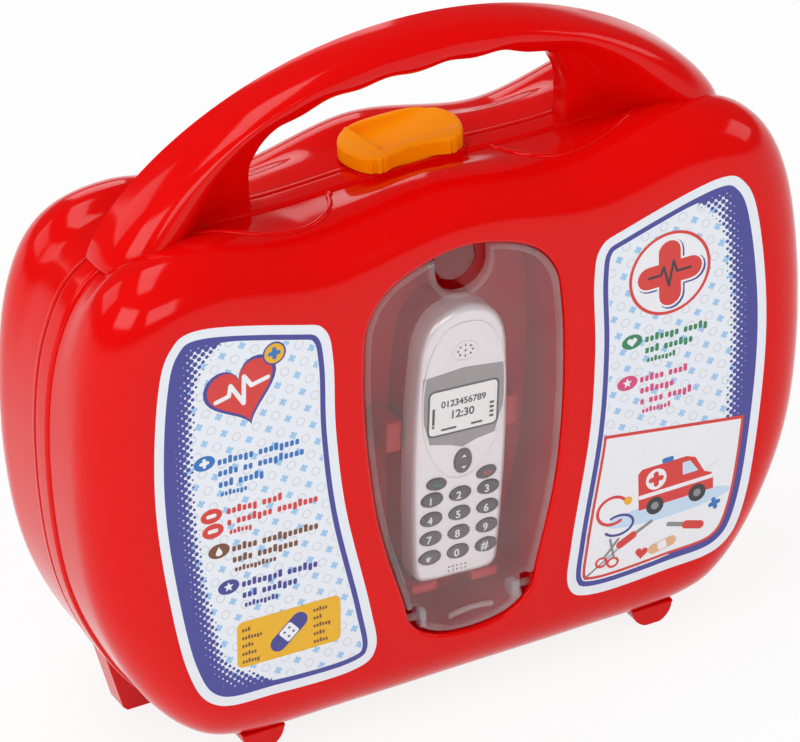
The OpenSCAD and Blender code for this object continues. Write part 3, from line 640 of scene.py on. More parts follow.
def window_cutter():
    """What the window takes out of the front face, with a flare that rounds its lip."""
    lip = bpy.context.scene.case_sizes.lip / MM
    flare = [(-1.6 * (1 - math.cos(math.pi / 2 * k / 6)), lip - (lip - SUNK) * math.sin(math.pi / 2 * k / 6))
             for k in range(6)]
    steps = [(0.0, WALL + 1)] + flare + [(-1.6, SUNK), (-1.6, -1)]
    return loft([ring(inset(WINDOW, d), FACE_Y + y) for d, y in steps])


# The handle's lower edge, from its middle to the root
HANDLE_PATH = np.array([
    (0, 215.0), (26, 214.0), (46, 208.0), (54.5, 197.5), (55.5, 187.5), (55, 181), (55, 174)])
# Its top, the half width at the roots, the depth of grip and roots, and the finger bumps' pitch and reach
HANDLE_TOP_Z, ROOT_HALF, GRIP_D, ROOT_D = 227.5, 108.5, 18.0, 23.5
FINGER_PITCH, BUMPS_HALF = 19.0, 42.0


def handle_inner(s):
    """Point on the lower edge with its finger bumps, for s from -1 at the left root to 1 at the right one."""
    p = HANDLE_PATH
    t = abs(s) * (len(p) - 1)
    i = min(len(p) - 2, int(t))
    f = t - i
    a = p[i - 1] if i else p[1] * (-1, 1)
    d = p[i + 2] if i < len(p) - 2 else 2 * p[i + 1] - p[i]
    b, c = p[i], p[i + 1]
    q = 0.5 * (2 * b + (c - a) * f + (2 * a - 5 * b + 4 * c - d) * f**2 + (3 * b - a - 3 * c + d) * f**3)
    depth = bpy.context.scene.case_sizes.bump / MM
    wave = 0.5 + 0.5 * math.cos(2 * math.pi * q[0] / FINGER_PITCH)
    bump = -depth * wave * float(1 - smooth((abs(q[0]) - BUMPS_HALF) / 6))
    return np.array([math.copysign(q[0], s) if s else 0.0, q[1] + bump])


def handle_outer(s):
    """Point on the upper edge that goes with the one on the lower edge."""
    a = math.pi / 2 * abs(s) ** 0.85
    z0 = SEAM_Z - 5
    return np.array([math.copysign(ROOT_HALF * math.sin(a), s),
                     z0 + (HANDLE_TOP_Z - z0) * max(0, math.cos(a)) ** 1.4])


def handle_arch(stations=150, steps=26):
    """The handle: a round grip that widens into flat-backed roots at the shell."""
    rings = []
    for j in range(stations + 1):
        s = 1 - 2 * j / stations
        w = float(smooth(abs(s)))
        a, b = handle_inner(s), handle_outer(s)
        depth, edge = GRIP_D + (ROOT_D - GRIP_D) * w, 6.0 + 1.5 * w
        row = [(a[0], -SEAM_GAP / 2, a[1])]
        for k in range(steps + 1):
            v = 0.5 - 0.5 * math.cos(math.pi * k / steps)
            grip = max(0, 1 - abs(2 * v - 1) ** 2.6) ** (1 / 2.6)
            root = float(smooth((v - 0.25) / 0.5)) * math.sqrt(max(0, 1 - (max(0, v - 0.75) / 0.25) ** 2))
            y = edge + (depth - edge) * (grip * (1 - w) + root * w)
            q = a * (1 - v) + b * v
            row.append((q[0], -y, q[1]))
        # A small round lip at the back edge
        row.append((b[0], -1.2, b[1]))
        row.append((b[0] * 0.995, -SEAM_GAP / 2, b[1] - 0.8))
        rings.append(np.array(row))
    return loft(rings)


def deck_z(x, y):
    """Height of the front shell's top at a place on it, in front of the bead."""
    out = inset(front_level(max(y, -21.0)), BEAD_H)
    top = out[(out[:, 1] > 150) & (np.abs(out[:, 0]) < 118)]
    top = top[np.argsort(top[:, 0])]
    return float(np.interp(x, top[:, 0], top[:, 1]))


def root_rim():
    """The raised lip round the shallow dish at the handle's root, which reaches towards the latch."""
    line = closed_spline([
        (31.0, -7.6), (30.4, -11.5), (33.0, -17.3), (38.5, -22.0), (46.5, -24.6), (59.5, -23.8), (72, -18.5),
        (84, -10.5), (88, -6.0), (60, -4.0)], 10)
    keep = [q for q in line if q[1] < -7.0]
    start = max(range(len(keep)), key=lambda i: math.dist(keep[i], keep[i - 1]))
    keep = keep[start:] + keep[:start]
    path = np.array([(x, y, deck_z(x, y) + 0.1) for x, y in keep])
    t = np.gradient(path, axis=0)
    t /= np.linalg.norm(t, axis=1)[:, None]
    u = np.cross(t, (0, 0, 1))
    u /= np.linalg.norm(u, axis=1)[:, None]
    w = np.cross(t, u)
    a = np.linspace(0, 2 * np.pi, 16, endpoint=False)
    size = 0.85 * np.minimum(1, np.minimum(np.arange(len(path)), np.arange(len(path))[::-1]) / 6 + 0.25)
    return loft([path[i] + size[i] * (np.cos(a)[:, None] * u[i] + 0.75 * np.sin(a)[:, None] * w[i])
                 for i in range(len(path))])


def rim_lip():
    """Locating lip inside the front half's rim. The rear half closes over it, which keeps light out of
    the seam."""
    wall, clear, depth = WALL + BEAD_H, 0.3, 1.3
    profile = [(wall - 0.3, -3.5), (wall - 0.3, -0.4), (wall + clear, -0.1), (wall + clear, 1.5),
               (wall + clear + 0.25, 1.8), (wall + depth - 0.2, 1.8), (wall + depth, 1.6),
               (wall + depth, -3.5)]
    # From beside the latch round the right side to the hinge, every other point of the outline
    stretch = slice(SAMPLES + 2, 9 * SAMPLES + 9, 2)
    lines = [np.insert(inset(SEAM_OUT, d)[stretch], 1, y, axis=1) for d, y in profile]
    return loft([np.array(station) for station in zip(*lines)])


def front_foot():
    """Half-round foot under the front half."""
    a = np.linspace(math.pi, 2 * math.pi, 25)
    p = [(71 + 7.5 * math.cos(t), max(0.0, 7.0 + 7.5 * math.sin(t))) for t in a]
    return plate(p[::-1], FACE_Y + 9, FACE_Y + 23, 0.6, 0.6)


def rear_foot():
    """Foot that follows the rear half's lower corner down to the ground."""
    corner = inset(SEAM_OUT, 1)
    top = corner[7 * SAMPLES + SAMPLES // 2:9 * SAMPLES + 1:3]
    x0, x1 = top[0][0], top[-1][0]
    low = [(x1 + 3, 0), (x0 - 7.5, 0), (x0 - 6, 1.5)]
    return plate(np.array(list(top) + low)[::-1], 9, 18)


# Two hinges under the case: each lies from HINGE_IN to HINGE_OUT across, with a front knuckle at both ends
HINGE_IN, HINGE_OUT, KNUCKLE = 28.0, 52.0, 6.0
KNUCKLE_R, KNUCKLE_GAP, PIN_HOLE_R = 3.0, 0.3, 1.3


def bed(depth, side):
    """Flat rest under the latch. It reaches further right, where the latch slides to."""
    left, right = -17, 21.5
    p = np.array([(left, 0.1), (right, 0.1), (right, depth - 3.5), (right - 3.5, depth), (left + 3.5, depth),
                  (left, depth - 3.5)])
    return loft([np.stack([p[:, 0], side * p[:, 1], np.full(len(p), h)], 1) for h in (SEAM_Z - 3.6, BED_Z)])


def block(x0, x1, y0, y1, z0, z1):
    """A sharp box."""
    p = np.array([(x0, z0), (x0, z1), (x1, z1), (x1, z0)], float)
    return loft([ring(p, y0), ring(p, y1)])


def build_front():
    """Front half with handle, feet, knuckles, latch bed and rim lip."""
    red = material("moulded_polypropylene_red")
    obj = new_object("front_shell_look", front_skin())
    parts = [handle_arch(), bed(9.5, -1), front_foot(), mirror_x(front_foot()), root_rim(),
             mirror_x(root_rim())]
    for x0, x1 in ((HINGE_IN, HINGE_IN + KNUCKLE), (HINGE_OUT - KNUCKLE, HINGE_OUT)):
        k = barrel(x0, x1, KNUCKLE_R, 0, FOOT_H)
        parts += [k, mirror_x(k)]
    boolean(obj, parts, "UNION")
    cuts = [window_cutter(), block(-8.3, 12.8, -7.9, -2.7, SEAM_Z - 6, BED_Z + 1)]
    gap = barrel(HINGE_IN + KNUCKLE - KNUCKLE_GAP, HINGE_OUT - KNUCKLE + KNUCKLE_GAP, KNUCKLE_R + 0.4, 0,
                 FOOT_H, 0)
    bore = barrel(HINGE_IN - 1, HINGE_OUT + 1, PIN_HOLE_R, 0, FOOT_H, 0)
    for part in (gap, bore):
        cuts += [part, mirror_x(part)]
    boolean(obj, cuts)
    finish_piece(obj, "front_half", red, 38, ("front_shell",), flat=True)
    piece("front_rim_lip", join(rim_lip(), mirror_x(rim_lip())), "front_half", red, 38)


def build_rear():
    """Rear half with latch pocket, feet and knuckles, and the two pins."""
    red = material("moulded_polypropylene_red")
    outer = [ring(inset(REAR_OUT, e + BEAD_H), BACK_Y - d) for e, d in arc_steps(EDGE_R, 14)][::-1]
    inner = [ring(inset(REAR_OUT, e + WALL + BEAD_H), BACK_Y - WALL - d)
             for e, d in arc_steps(EDGE_R - WALL, 5)]
    round_rim = ((1.0, 0.1), (0.35, 0.2), (0.05, 0.5), (0.0, 1.0), (0.05, 1.6), (0.4, 2.1), (BEAD_H, 2.5))
    rim = [ring(inset(SEAM_OUT, d), y) for d, y in round_rim]
    side = [ring(inset(rear_level(y), BEAD_H), y) for y in np.linspace(5, 23, 8)]
    inside = [ring(inset(rear_level(y), WALL + BEAD_H), y) for y in (23, 18, 14, SEAM_GAP / 2)]
    obj = new_object("rear_shell_look", loft(inner + inside + rim + side + outer))
    k = barrel(HINGE_IN + KNUCKLE + KNUCKLE_GAP, HINGE_OUT - KNUCKLE - KNUCKLE_GAP, KNUCKLE_R, 0, FOOT_H)
    boolean(obj, [bed(11.5, 1), rear_foot(), mirror_x(rear_foot()), k, mirror_x(k)], "UNION")
    cuts = []
    # Ways for the latch's two hooks, and the pockets that they slide into
    for x in (-12, 12):
        cuts.append(block(x - 2.9, x + 2.9, -1, 9.4, SEAM_Z - 6, BED_Z + 1))
        cuts.append(block(x - 2.9, x + 7.4, 4.6, 9.4, SEAM_Z - 6, BED_Z + 1))
    for x0, x1 in ((HINGE_IN - 1.3, HINGE_IN + KNUCKLE + KNUCKLE_GAP),
                   (HINGE_OUT - KNUCKLE - KNUCKLE_GAP, HINGE_OUT + 1.3)):
        g = barrel(x0, x1, KNUCKLE_R + 0.4, 0, FOOT_H, 0)
        cuts += [g, mirror_x(g)]
    bore = barrel(HINGE_IN - 1, HINGE_OUT + 1, PIN_HOLE_R, 0, FOOT_H, 0)
    cuts += [bore, mirror_x(bore)]
    boolean(obj, cuts)
    finish_piece(obj, "rear_half", red, 38, ("rear_shell",), flat=True)
    for node in ("hinge_pin_left", "hinge_pin_right"):
        dress(node, "zinc_plated_steel")


# Latch

LATCH_PLAN = closed_spline(mirrored([(0, 13), (10.2, 12), (17.6, 7.5), (20.5, 0), (17.9, -9.2), (12.8, -13),
                                     (7.4, -11.4), (0, -10.4)]), 14)


def build_latch():
    """Sliding latch with its thumb scoop, stem and hooks."""
    base = BED_Z + 0.15
    top = LATCH_T
    p = LATCH_PLAN
    scoop_length, scoop_depth, edge_r = 29.0, 3.7, 1.0

    def level(q, z):
        return np.stack([q[:, 0] + LATCH_X, q[:, 1] + LATCH_MID_Y, base + np.broadcast_to(z, (len(q),))], 1)

    def top_height(q):
        x, y = q[:, 0], q[:, 1]
        # The scoop is deepest behind the ridge at its left and runs out to the right
        ridge = -11.5 - 0.12 * y
        run = np.clip((x - ridge) / scoop_length, 0, 1)
        depth = scoop_depth * (1 - run) ** 0.8 * smooth((x - ridge) / 1.2)
        lip = smooth((y + 7.0) / 1.3)
        back = 1 - smooth((y - 9.0) / 1.5)
        rim = 0.5 * np.exp(-((x - ridge + 0.9) / 0.8) ** 2)
        slope = 0.5 * smooth((-x - 12) / 10)
        return top - depth * lip * back + rim * smooth((y + 11) / 3) - slope

    # Two upright grooves at each end of the front side
    groove = np.zeros(len(p))
    for centre in (-14.6, -12.2, 12.2, 14.6):
        near = np.abs(p[:, 0] - centre) < 0.55
        groove[near & (p[:, 1] < -6)] = 0.45
    rings = [level(inset(p, 0.5 + groove), 0.0), level(inset(p, 0.2 + groove), 0.3),
             level(inset(p, 0.1 + groove), top - 1.3)]
    for k in range(1, 6):
        a = math.pi / 2 * k / 5
        q = inset(p, 0.1 + edge_r * (1 - math.cos(a)) + groove * (1 - k / 5))
        rings.append(level(q, top_height(q) - edge_r * (1 - math.sin(a))))
    inner = inset(p, 0.1 + edge_r)
    centre = np.array([0.0, 0.5])
    for k in range(1, 27):
        q = centre + (inner - centre) * (1 - k / 27)
        rings.append(level(q, top_height(q)))
    parts = [loft(rings)]
    # The stem and its foot, which hold the latch in the front shell's bed, and the two hooks
    parts.append(block(-8, 8, -7.6, -3, SEAM_Z - 3.9, base + 1))
    parts.append(block(-8, 8, -9.6, -1.4, SEAM_Z - 5.8, SEAM_Z - 3.75))
    for x in (-12, 12):
        parts.append(block(x - 2.5, x + 2.5, 5, 9, SEAM_Z - 4, base + 1))
    piece("latch_look", join(*parts), "latch", material("moulded_abs_yellow"), 40,
          ("latch_slider",))


# Door

def door_outline():
    """Door edge with the notch in its top, and corners rounded by a small radius."""
    w = inset(WINDOW, 0.5 + 0.7 * smooth((PIVOT_Z + 2 - WINDOW[:, 1]) / 5))
    r, zc = 9.5, NOTCH_Z
    right = [q for q in w[:len(w) // 2 + 1] if q[0] > r + 0.9 or q[1] < 100]
    notch = [(r * math.cos(a), zc + r * math.sin(a)) for a in np.linspace(-math.pi / 2, 0, 14)]
    corner = [(r, 163.2), (r + 0.15, 164.0), (r + 0.6, 164.55)]
    half = notch + corner + [tuple(q) for q in right]
    return np.array(half + [(-x, z) for x, z in half[-2:0:-1]])


def build_door():
    """Clear door with raised rim, ears and pivots."""
    p = door_outline()
    back = DOOR_Y + DOOR_T
    rim = [(0.0, DOOR_T), (0.0, -0.4), (0.15, -0.75), (0.5, -1.0), (1.5, -1.0), (1.85, -0.8), (2.1, -0.3),
           (2.3, 0.0)]
    rings = [ring(inset(p, d), DOOR_Y + y) for d, y in rim]
    rim_part = loft(rings, caps=(False, False))
    face = flat_patch(inset(p, 2.3), DOOR_Y, 4.0)
    rear = flat_patch(p, back, 6.0)
    arc = [(x, 34.2 + 0.9 * (1 - (x / 8) ** 2)) for x in np.linspace(8, -8, 15)]
    arc += [(x, 32.6 + 0.9 * (1 - (x / 8) ** 2)) for x in np.linspace(-8, 8, 15)]
    obj = new_object("door_look", join(rim_part, face, rear), merge=0.01)
    notch = block(18.0, 30, DOOR_Y - 3, DOOR_Y + DOOR_T + 0.05, PIVOT_Z - 3.5, PIVOT_Z + 6)
    boolean(obj, [notch, mirror_x(notch)])
    finish_piece(obj, "door", [material("clear_polystyrene"),
                                             material("clear_polystyrene_edge")], 40,
                 ("window_door",))
    # The raised rim's faces take the hazier copy, a painted highlight along the door's edge
    for f in obj.data.polygons:
        f.material_index = 1 if abs(f.normal.y) < 0.98 or f.center.y < (DOOR_Y - 0.3) * MM else 0
    ears = []
    for s in (1, -1):
        ear = join(barrel(15.6, 17.9, 3, PIVOT_Y, PIVOT_Z),
                   block(15.6, 17.9, DOOR_Y + 0.5, PIVOT_Y, PIVOT_Z - 3, PIVOT_Z + 3),
                   barrel(16.1, 24.4, 1.3, PIVOT_Y, PIVOT_Z))
        ears.append(ear if s > 0 else mirror_x(ear))
    ears.append(plate(arc[::-1], DOOR_Y - 0.8, DOOR_Y + 0.2, 0.3, 0.0))
    # The ears and pivots take the hazier copy too, a painted highlight
    piece("door_ears", join(*ears), "door", material("clear_polystyrene_edge"), 40)


def flat_patch(outline, y, step):
    """A flat triangulated sheet inside an outline, with inner points about every step mm."""
    p = np.asarray(outline, float)
    lo, hi = p.min(0), p.max(0)
    xs = np.arange(lo[0] + step / 2, hi[0], step)
    zs = np.arange(lo[1] + step / 2, hi[1], step)
    grid = np.array([(x, z) for x in xs for z in zs])
    d = edge_distance(grid, p)
    grid = grid[d > step * 0.45]
    pts = np.concatenate([p, grid])
    edges = [(i, (i + 1) % len(p)) for i in range(len(p))]
    out = geometry.delaunay_2d_cdt([tuple(q) for q in pts], edges, [], 1, 1e-6)
    q = np.array([(v[0], v[1]) for v in out[0]])
    return ring(q, y), [tuple(f) for f in out[2]]


def edge_distance(pts, outline):
    """Distance from each point to the outline, negative outside."""
    a, b = outline, np.roll(outline, -1, 0)
    best = np.full(len(pts), 1e9)
    inside = np.zeros(len(pts), bool)
    for p, q in zip(a, b):
        e = q - p
        t = np.clip(((pts - p) @ e) / max(e @ e, 1e-12), 0, 1)
        best = np.minimum(best, np.linalg.norm(pts - (p + t[:, None] * e), axis=1))
        if abs(q[1] - p[1]) > 1e-12:
            crosses = (p[1] > pts[:, 1]) != (q[1] > pts[:, 1])
            inside ^= crosses & (pts[:, 0] < (q[0] - p[0]) * (pts[:, 1] - p[1]) / (q[1] - p[1]) + p[0])
    return np.where(inside, best, -best)


# Insert behind the window

def build_tray():
    """Insert with the phone's seat, clips and ledges, and the door's catch."""
    inner = inset(WINDOW, -1.5)
    front = FACE_Y + WALL + 0.45
    outer = inset(inner, -TRAY_WALL)
    walls = loft([ring(inner, front), ring(outer, front), ring(outer, TRAY_BACK), ring(inner, TRAY_BACK)],
                 closed=True)
    floor = plate(inset(inner, 0.02), TRAY_BACK - TRAY_WALL, TRAY_BACK - 0.02)
    # The seat, the side clips and the ledges under the phone reach back into the floor
    seat_y, back_y = 11.15, 20.4
    seat = phone_place(plate(inset(PHONE_OUT, 0.8), seat_y, back_y, 0.6))
    parts = [walls, floor, seat]
    clip = box_round(18.0, 23.7, 6.5, back_y, 47, 58, 0.9)
    ledge = box_round(6.2, 15.5, 1, back_y, -3.8, -0.5, 0.7)
    boss = box_round(22.6, 27.0, front, PIVOT_Y + 3, PIVOT_Z - 4, PIVOT_Z + 4, 0.5)
    for part in (clip, ledge):
        parts += [phone_place(part), phone_place(mirror_x(part))]
    parts += [boss, mirror_x(boss)]
    piece("tray_look", join(*parts), "front_half", material("moulded_abs_red"), 35,
          ("phone_tray",))
    r, zc = 7.7, NOTCH_Z
    a = np.linspace(0, -math.pi, 25)
    shape = [(r * math.cos(t), zc + r * math.sin(t)) for t in a]
    top = [q for q in inset(inner, 0.5) if q[1] > 158 and abs(q[0]) < r - 0.4]
    shape += [tuple(q) for q in sorted(top, key=lambda q: q[0])]
    # The catch sits deep in the notch, and its dark red material adds a painted shade there
    piece("tray_catch", plate(np.array(shape), DOOR_Y + 4, DOOR_Y + 8, 1.4, 0.0, 6), "front_half",
          material("moulded_abs_dark_red"), 40)


# Labels

def text_part(body, size, x, z, y, turn=0, weight=0.0):
    """Mesh of a printed sign, as vertices and faces in millimetres."""
    curve = bpy.data.curves.new("sign", "FONT")
    curve.body = body
    curve.size = size
    curve.align_x = "CENTER"
    curve.align_y = "CENTER"
    curve.resolution_u = 6
    curve.offset = weight
    obj = bpy.data.objects.new("sign", curve)
    bpy.context.scene.collection.objects.link(obj)
    graph = bpy.context.evaluated_depsgraph_get()
    mesh = bpy.data.meshes.new_from_object(obj.evaluated_get(graph))
    v = np.array([(q.co.x, q.co.y) for q in mesh.vertices])
    faces = [tuple(f.vertices) for f in mesh.polygons]
    bpy.data.objects.remove(obj)
    bpy.data.curves.remove(curve)
    v -= (v.min(0) + v.max(0)) / 2
    return ring(moved(v, x, z, turn), y), faces


def sheet_part(p, y):
    """A flat printed shape."""
    return ring(np.asarray(p, float), y), [tuple(range(len(p)))]


def capsule(w, h, turn=0, x=0, z=0):
    """A bar with round ends."""
    return moved(rounded_box(w, h, min(w, h) * 0.499, 8), x, z, turn)


def cross_shape(size, arm, n=8):
    """A cross with round arm ends."""
    r = arm / 2
    out = []
    for turn in (0, -90, -180, -270):
        for k in range(n + 1):
            a = math.pi - math.pi * k / n
            out.append(tuple(moved([(r * math.cos(a), size / 2 - r + r * math.sin(a))], 0, 0, turn)[0]))
        out.append(tuple(moved([(r, r)], 0, 0, turn)[0]))
    return np.array(out)


def heart_shape(size, n=48):
    """A heart of the given width."""
    t = np.linspace(0, 2 * np.pi, n, endpoint=False)
    x = 16 * np.sin(t) ** 3
    z = 13 * np.cos(t) - 5 * np.cos(2 * t) - 2 * np.cos(3 * t) - np.cos(4 * t)
    return np.stack([x, z], 1) * size / 32


def star_shape(size, points=5):
    """A star with its points on a circle."""
    out = []
    for k in range(points * 2):
        r = size / 2 if k % 2 == 0 else size * 0.22
        a = math.pi * k / points
        out.append((r * math.sin(a), r * math.cos(a)))
    return np.array(out)


def drop_shape(size, n=36):
    """A drop that is round below."""
    t = np.linspace(0, 2 * np.pi, n, endpoint=False)
    return np.stack([size * 0.34 * np.sin(t) * (1 - np.cos(t)) * 0.77, size * 0.5 * np.cos(t)], 1)


def cut_below(p, z0, slope):
    """The part of an outline that lies below a sloping line."""
    over = p[:, 1] - (z0 + slope * p[:, 0])
    out = []
    for k in range(len(p)):
        a, b, ha, hb = p[k - 1], p[k], over[k - 1], over[k]
        if (ha < 0) != (hb < 0):
            out.append(a + (b - a) * ha / (ha - hb))
        if hb < 0:
            out.append(b)
    return np.array(out)


def stroke(points, width):
    """A line of the given width with round joints, as a list of flat outlines."""
    out = []
    for (x0, z0), (x1, z1) in zip(points[:-1], points[1:]):
        long = math.hypot(x1 - x0, z1 - z0)
        out.append(moved(rounded_box(long + width, width, width * 0.49, 5), (x0 + x1) / 2, (z0 + z1) / 2,
                         math.degrees(math.atan2(z1 - z0, x1 - x0))))
    return out


def arc_line(x, z, rx, rz, start, end, n=22):
    """Points along a part of an ellipse, by degrees."""
    return [(x + rx * math.cos(math.radians(t)), z + rz * math.sin(math.radians(t)))
            for t in np.linspace(start, end, n)]


LETTER = 1.72


def mock_words(lengths, x, z, size=2.0, turn=-2.0):
    """A line of small blocks that stand for printed words and spell nothing."""
    out = []
    at = 0.0
    for n, count in enumerate(lengths):
        for i in range(count):
            tall = size * (1.3 if (3 * i + 2 * n) % 5 == 1 else 0.95)
            drop = size * (-0.3 if (i + n) % 7 == 5 else 0.0)
            wide = size * 0.62
            box = rounded_box(wide, tall - drop, size * 0.2, 2)
            out.append(moved(moved(box, at + wide / 2, (tall + drop) / 2), x, z, turn))
            at += LETTER * size / 2
        at += LETTER * size * 0.4
    return out


def text_row(colour, badges, badge_sign, x, lines):
    """A row of a label: oval badges with a sign, and lines of mock words (z, word lengths)."""
    out = []
    for bx, bz in badges:
        out.append((colour, moved(oval(7.4, 5.2), bx, bz)))
        out.append(("ink_white", moved(badge_sign, bx, bz)))
    shapes = []
    for k, (z, words) in enumerate(lines):
        small = k == len(lines) - 1
        shapes += mock_words(words, x + (0.6 if small else 0), z, 1.55 if small else 2.1)
    out.append((colour, shapes))
    return out


def left_motifs():
    """A heart with a pulse line over rows of small signs, and a yellow panel with a plaster."""
    at = dict(x=-77.5, z=139.5, turn=12)
    pulse = [(-9.2, 0), (-4.6, 0), (-3.2, 3.2), (-0.6, -4.8), (1.8, 4.2), (3.4, 0), (9.2, 0)]
    out = [("ink_violet", moved(heart_shape(25.5), **at)), ("ink_red", moved(heart_shape(22.8), **at)),
           ("ink_white", [moved(q, **at) for q in stroke(pulse, 1.5)]),
           ("ink_violet", moved(oval(8.0, 8.0), -66.0, 149.0)),
           ("ink_yellow", moved(oval(6.8, 6.8), -66.0, 149.0)),
           ("ink_blue", moved(cross_shape(4.4, 1.5), -66.0, 149.0))]
    out += text_row("ink_blue", [(-91.4, 117.4)], cross_shape(3.4, 1.2), -86.9,
                    [(115.3, (7, 8)), (111.2, (4, 2, 9)), (107.1, (3, 5)), (103.9, (7,))])
    out += text_row("ink_red", [(-89.9, 97.9), (-89.6, 92.4)], capsule(3.6, 1.4), -84.6,
                    [(96.9, (6, 4)), (92.8, (1, 7, 8)), (89.5, (6,))])
    out += text_row("ink_brown", [(-87.9, 84.6)], drop_shape(3.4), -83.4,
                    [(82.9, (5, 11)), (78.8, (4, 8)), (75.4, (11,))])
    out += text_row("ink_violet", [(-85.2, 70.6)], star_shape(3.6), -80.6,
                    [(69.0, (8, 6)), (64.9, (3, 7)), (61.5, (9,))])
    panel = dict(x=-65.1, z=47.4, turn=-1.5)
    out.append(("ink_yellow", moved(rounded_box(36.3, 16.8, 2.2), **panel)))
    plaster = dict(x=-65.1, z=47.4, turn=40)
    dots = [moved(oval(0.9, 0.9, 12), *moved([(dx, dz)], plaster["x"], plaster["z"], 40)[0])
            for dx in (-1.1, 1.1) for dz in (-1.1, 1.1)]
    out += [("ink_violet", moved(capsule(15.5, 6.0), **plaster)),
            ("ink_white", moved(rounded_box(5.4, 5.2, 0.8), **plaster)),
            ("ink_violet", dots)]
    for x, counts in ((-16.4, (3, 7, 4, 5, 6)), (8.6, (5, 3, 6, 4, 5))):
        lines = []
        for k, count in enumerate(counts):
            lines += [moved(q, **panel) for q in mock_words((count,), x, 4.6 - 2.9 * k, 1.2, 0)]
        out.append(("ink_brown", lines))
    return out


def right_motifs():
    """A ring with a round-armed cross, rows of small signs, and a white panel with a van and tools."""
    at = dict(x=73.2, z=135.9)
    pulse = [(-7.6, 0), (-3.2, 0), (-2.2, 2.6), (-0.4, -4.4), (1.4, 4.0), (2.6, 0), (7.6, 0)]
    out = [("ink_red", moved(oval(29.6, 29.6, 72), **at)), ("ink_white", moved(oval(27.4, 27.4, 72), **at)),
           ("ink_violet", moved(cross_shape(25.2, 9.6), 73.7, 135.4)),
           ("ink_white", moved(cross_shape(24.8, 9.4), **at)),
           ("ink_red", moved(cross_shape(23.4, 8.0), **at)),
           ("ink_dark", [moved(q, **at) for q in stroke(pulse, 0.9)])]
    out += text_row("ink_green", [(59.3, 114.8)], heart_shape(3.6), 64.0,
                    [(113.2, (7, 5)), (109.1, (3, 6)), (105.7, (8,))])
    out += text_row("ink_pink", [(57.4, 100.2)], star_shape(3.6), 62.0,
                    [(99.0, (5, 4)), (94.9, (7,)), (90.8, (1, 3, 5)), (87.5, (8,))])
    # The lower field
    for grow, colour in ((0.0, "ink_red"), (1.0, "ink_white")):
        out.append((colour, cut_below(inset(LABEL, 5.6 + grow), 91.0 - 1.2 * grow, -0.157)))
    out.append(("ink_pale", moved(oval(46, 7), 72, 49.5)))
    # A small rescue van
    van = [(-13, 0), (-13, 13.5), (-11.5, 15), (5, 15), (8.2, 13.6), (11.4, 7.4), (14, 6.2), (14.6, 4.4),
           (14.6, 0)]
    out += [("ink_red", moved(van, 74, 51.5)), ("ink_white", moved(rounded_box(27.4, 1.5, 0.4), 74.8, 56.2)),
            ("ink_pale", moved([(3.4, 8.4), (3.4, 13), (6.2, 13), (9.2, 8.4)], 74, 51.5)),
            ("ink_white", moved(oval(7.6, 7.6), 67.6, 61.4)),
            ("ink_red", moved(cross_shape(5.6, 1.9), 67.6, 61.4)),
            ("ink_blue", moved(rounded_box(4.2, 1.9, 0.7), 72.0, 67.3)),
            ("ink_dark", moved(oval(6.4, 6.4), 67, 51.6)),
            ("ink_dark", moved(oval(6.4, 6.4), 82.6, 51.6)), ("ink_grey", moved(oval(2.8, 2.8), 67, 51.6)),
            ("ink_grey", moved(oval(2.8, 2.8), 82.6, 51.6))]
    # Small tools in front of it
    out += [("ink_red", stroke(arc_line(51.5, 54.5, 5.6, 5.0, 20, 300), 1.1)),
            ("ink_violet", stroke(arc_line(53.5, 48.5, 5.4, 3.6, -150, 120), 0.9)),
            ("ink_yellow", moved(oval(3.0, 3.0), 57.2, 56.6)),
            ("ink_grey", moved(capsule(8.0, 1.2), 62.5, 44.8, 24)),
            ("ink_red", moved(capsule(8.0, 2.8), 56.4, 42.0, 24)),
            ("ink_grey", moved(capsule(7.0, 1.6), 74.5, 42.2, -18)),
            ("ink_red", moved(capsule(8.4, 3.0), 81.0, 40.0, -18)),
            ("ink_skin", moved(capsule(10.5, 3.6), 69.5, 36.0, 10)),
            ("ink_white", moved(rounded_box(3.2, 3.0, 0.4), 69.5, 36.0, 10)),
            ("ink_red", stroke(arc_line(47.0, 36.4, 1.9, 1.6, 0, 360), 0.8)),
            ("ink_red", stroke(arc_line(51.2, 35.2, 1.9, 1.6, 0, 360), 0.8)),
            ("ink_grey", stroke([(48.2, 38.0), (53.4, 43.4)], 0.9)),
            ("ink_grey", stroke([(51.6, 37.0), (50.4, 44.0)], 0.9)),
            ("ink_blue", moved(cross_shape(4.6, 1.6), 89.0, 45.6, 12)),
            ("ink_red", moved(heart_shape(4.6), 61.8, 35.4, -10))]
    return out


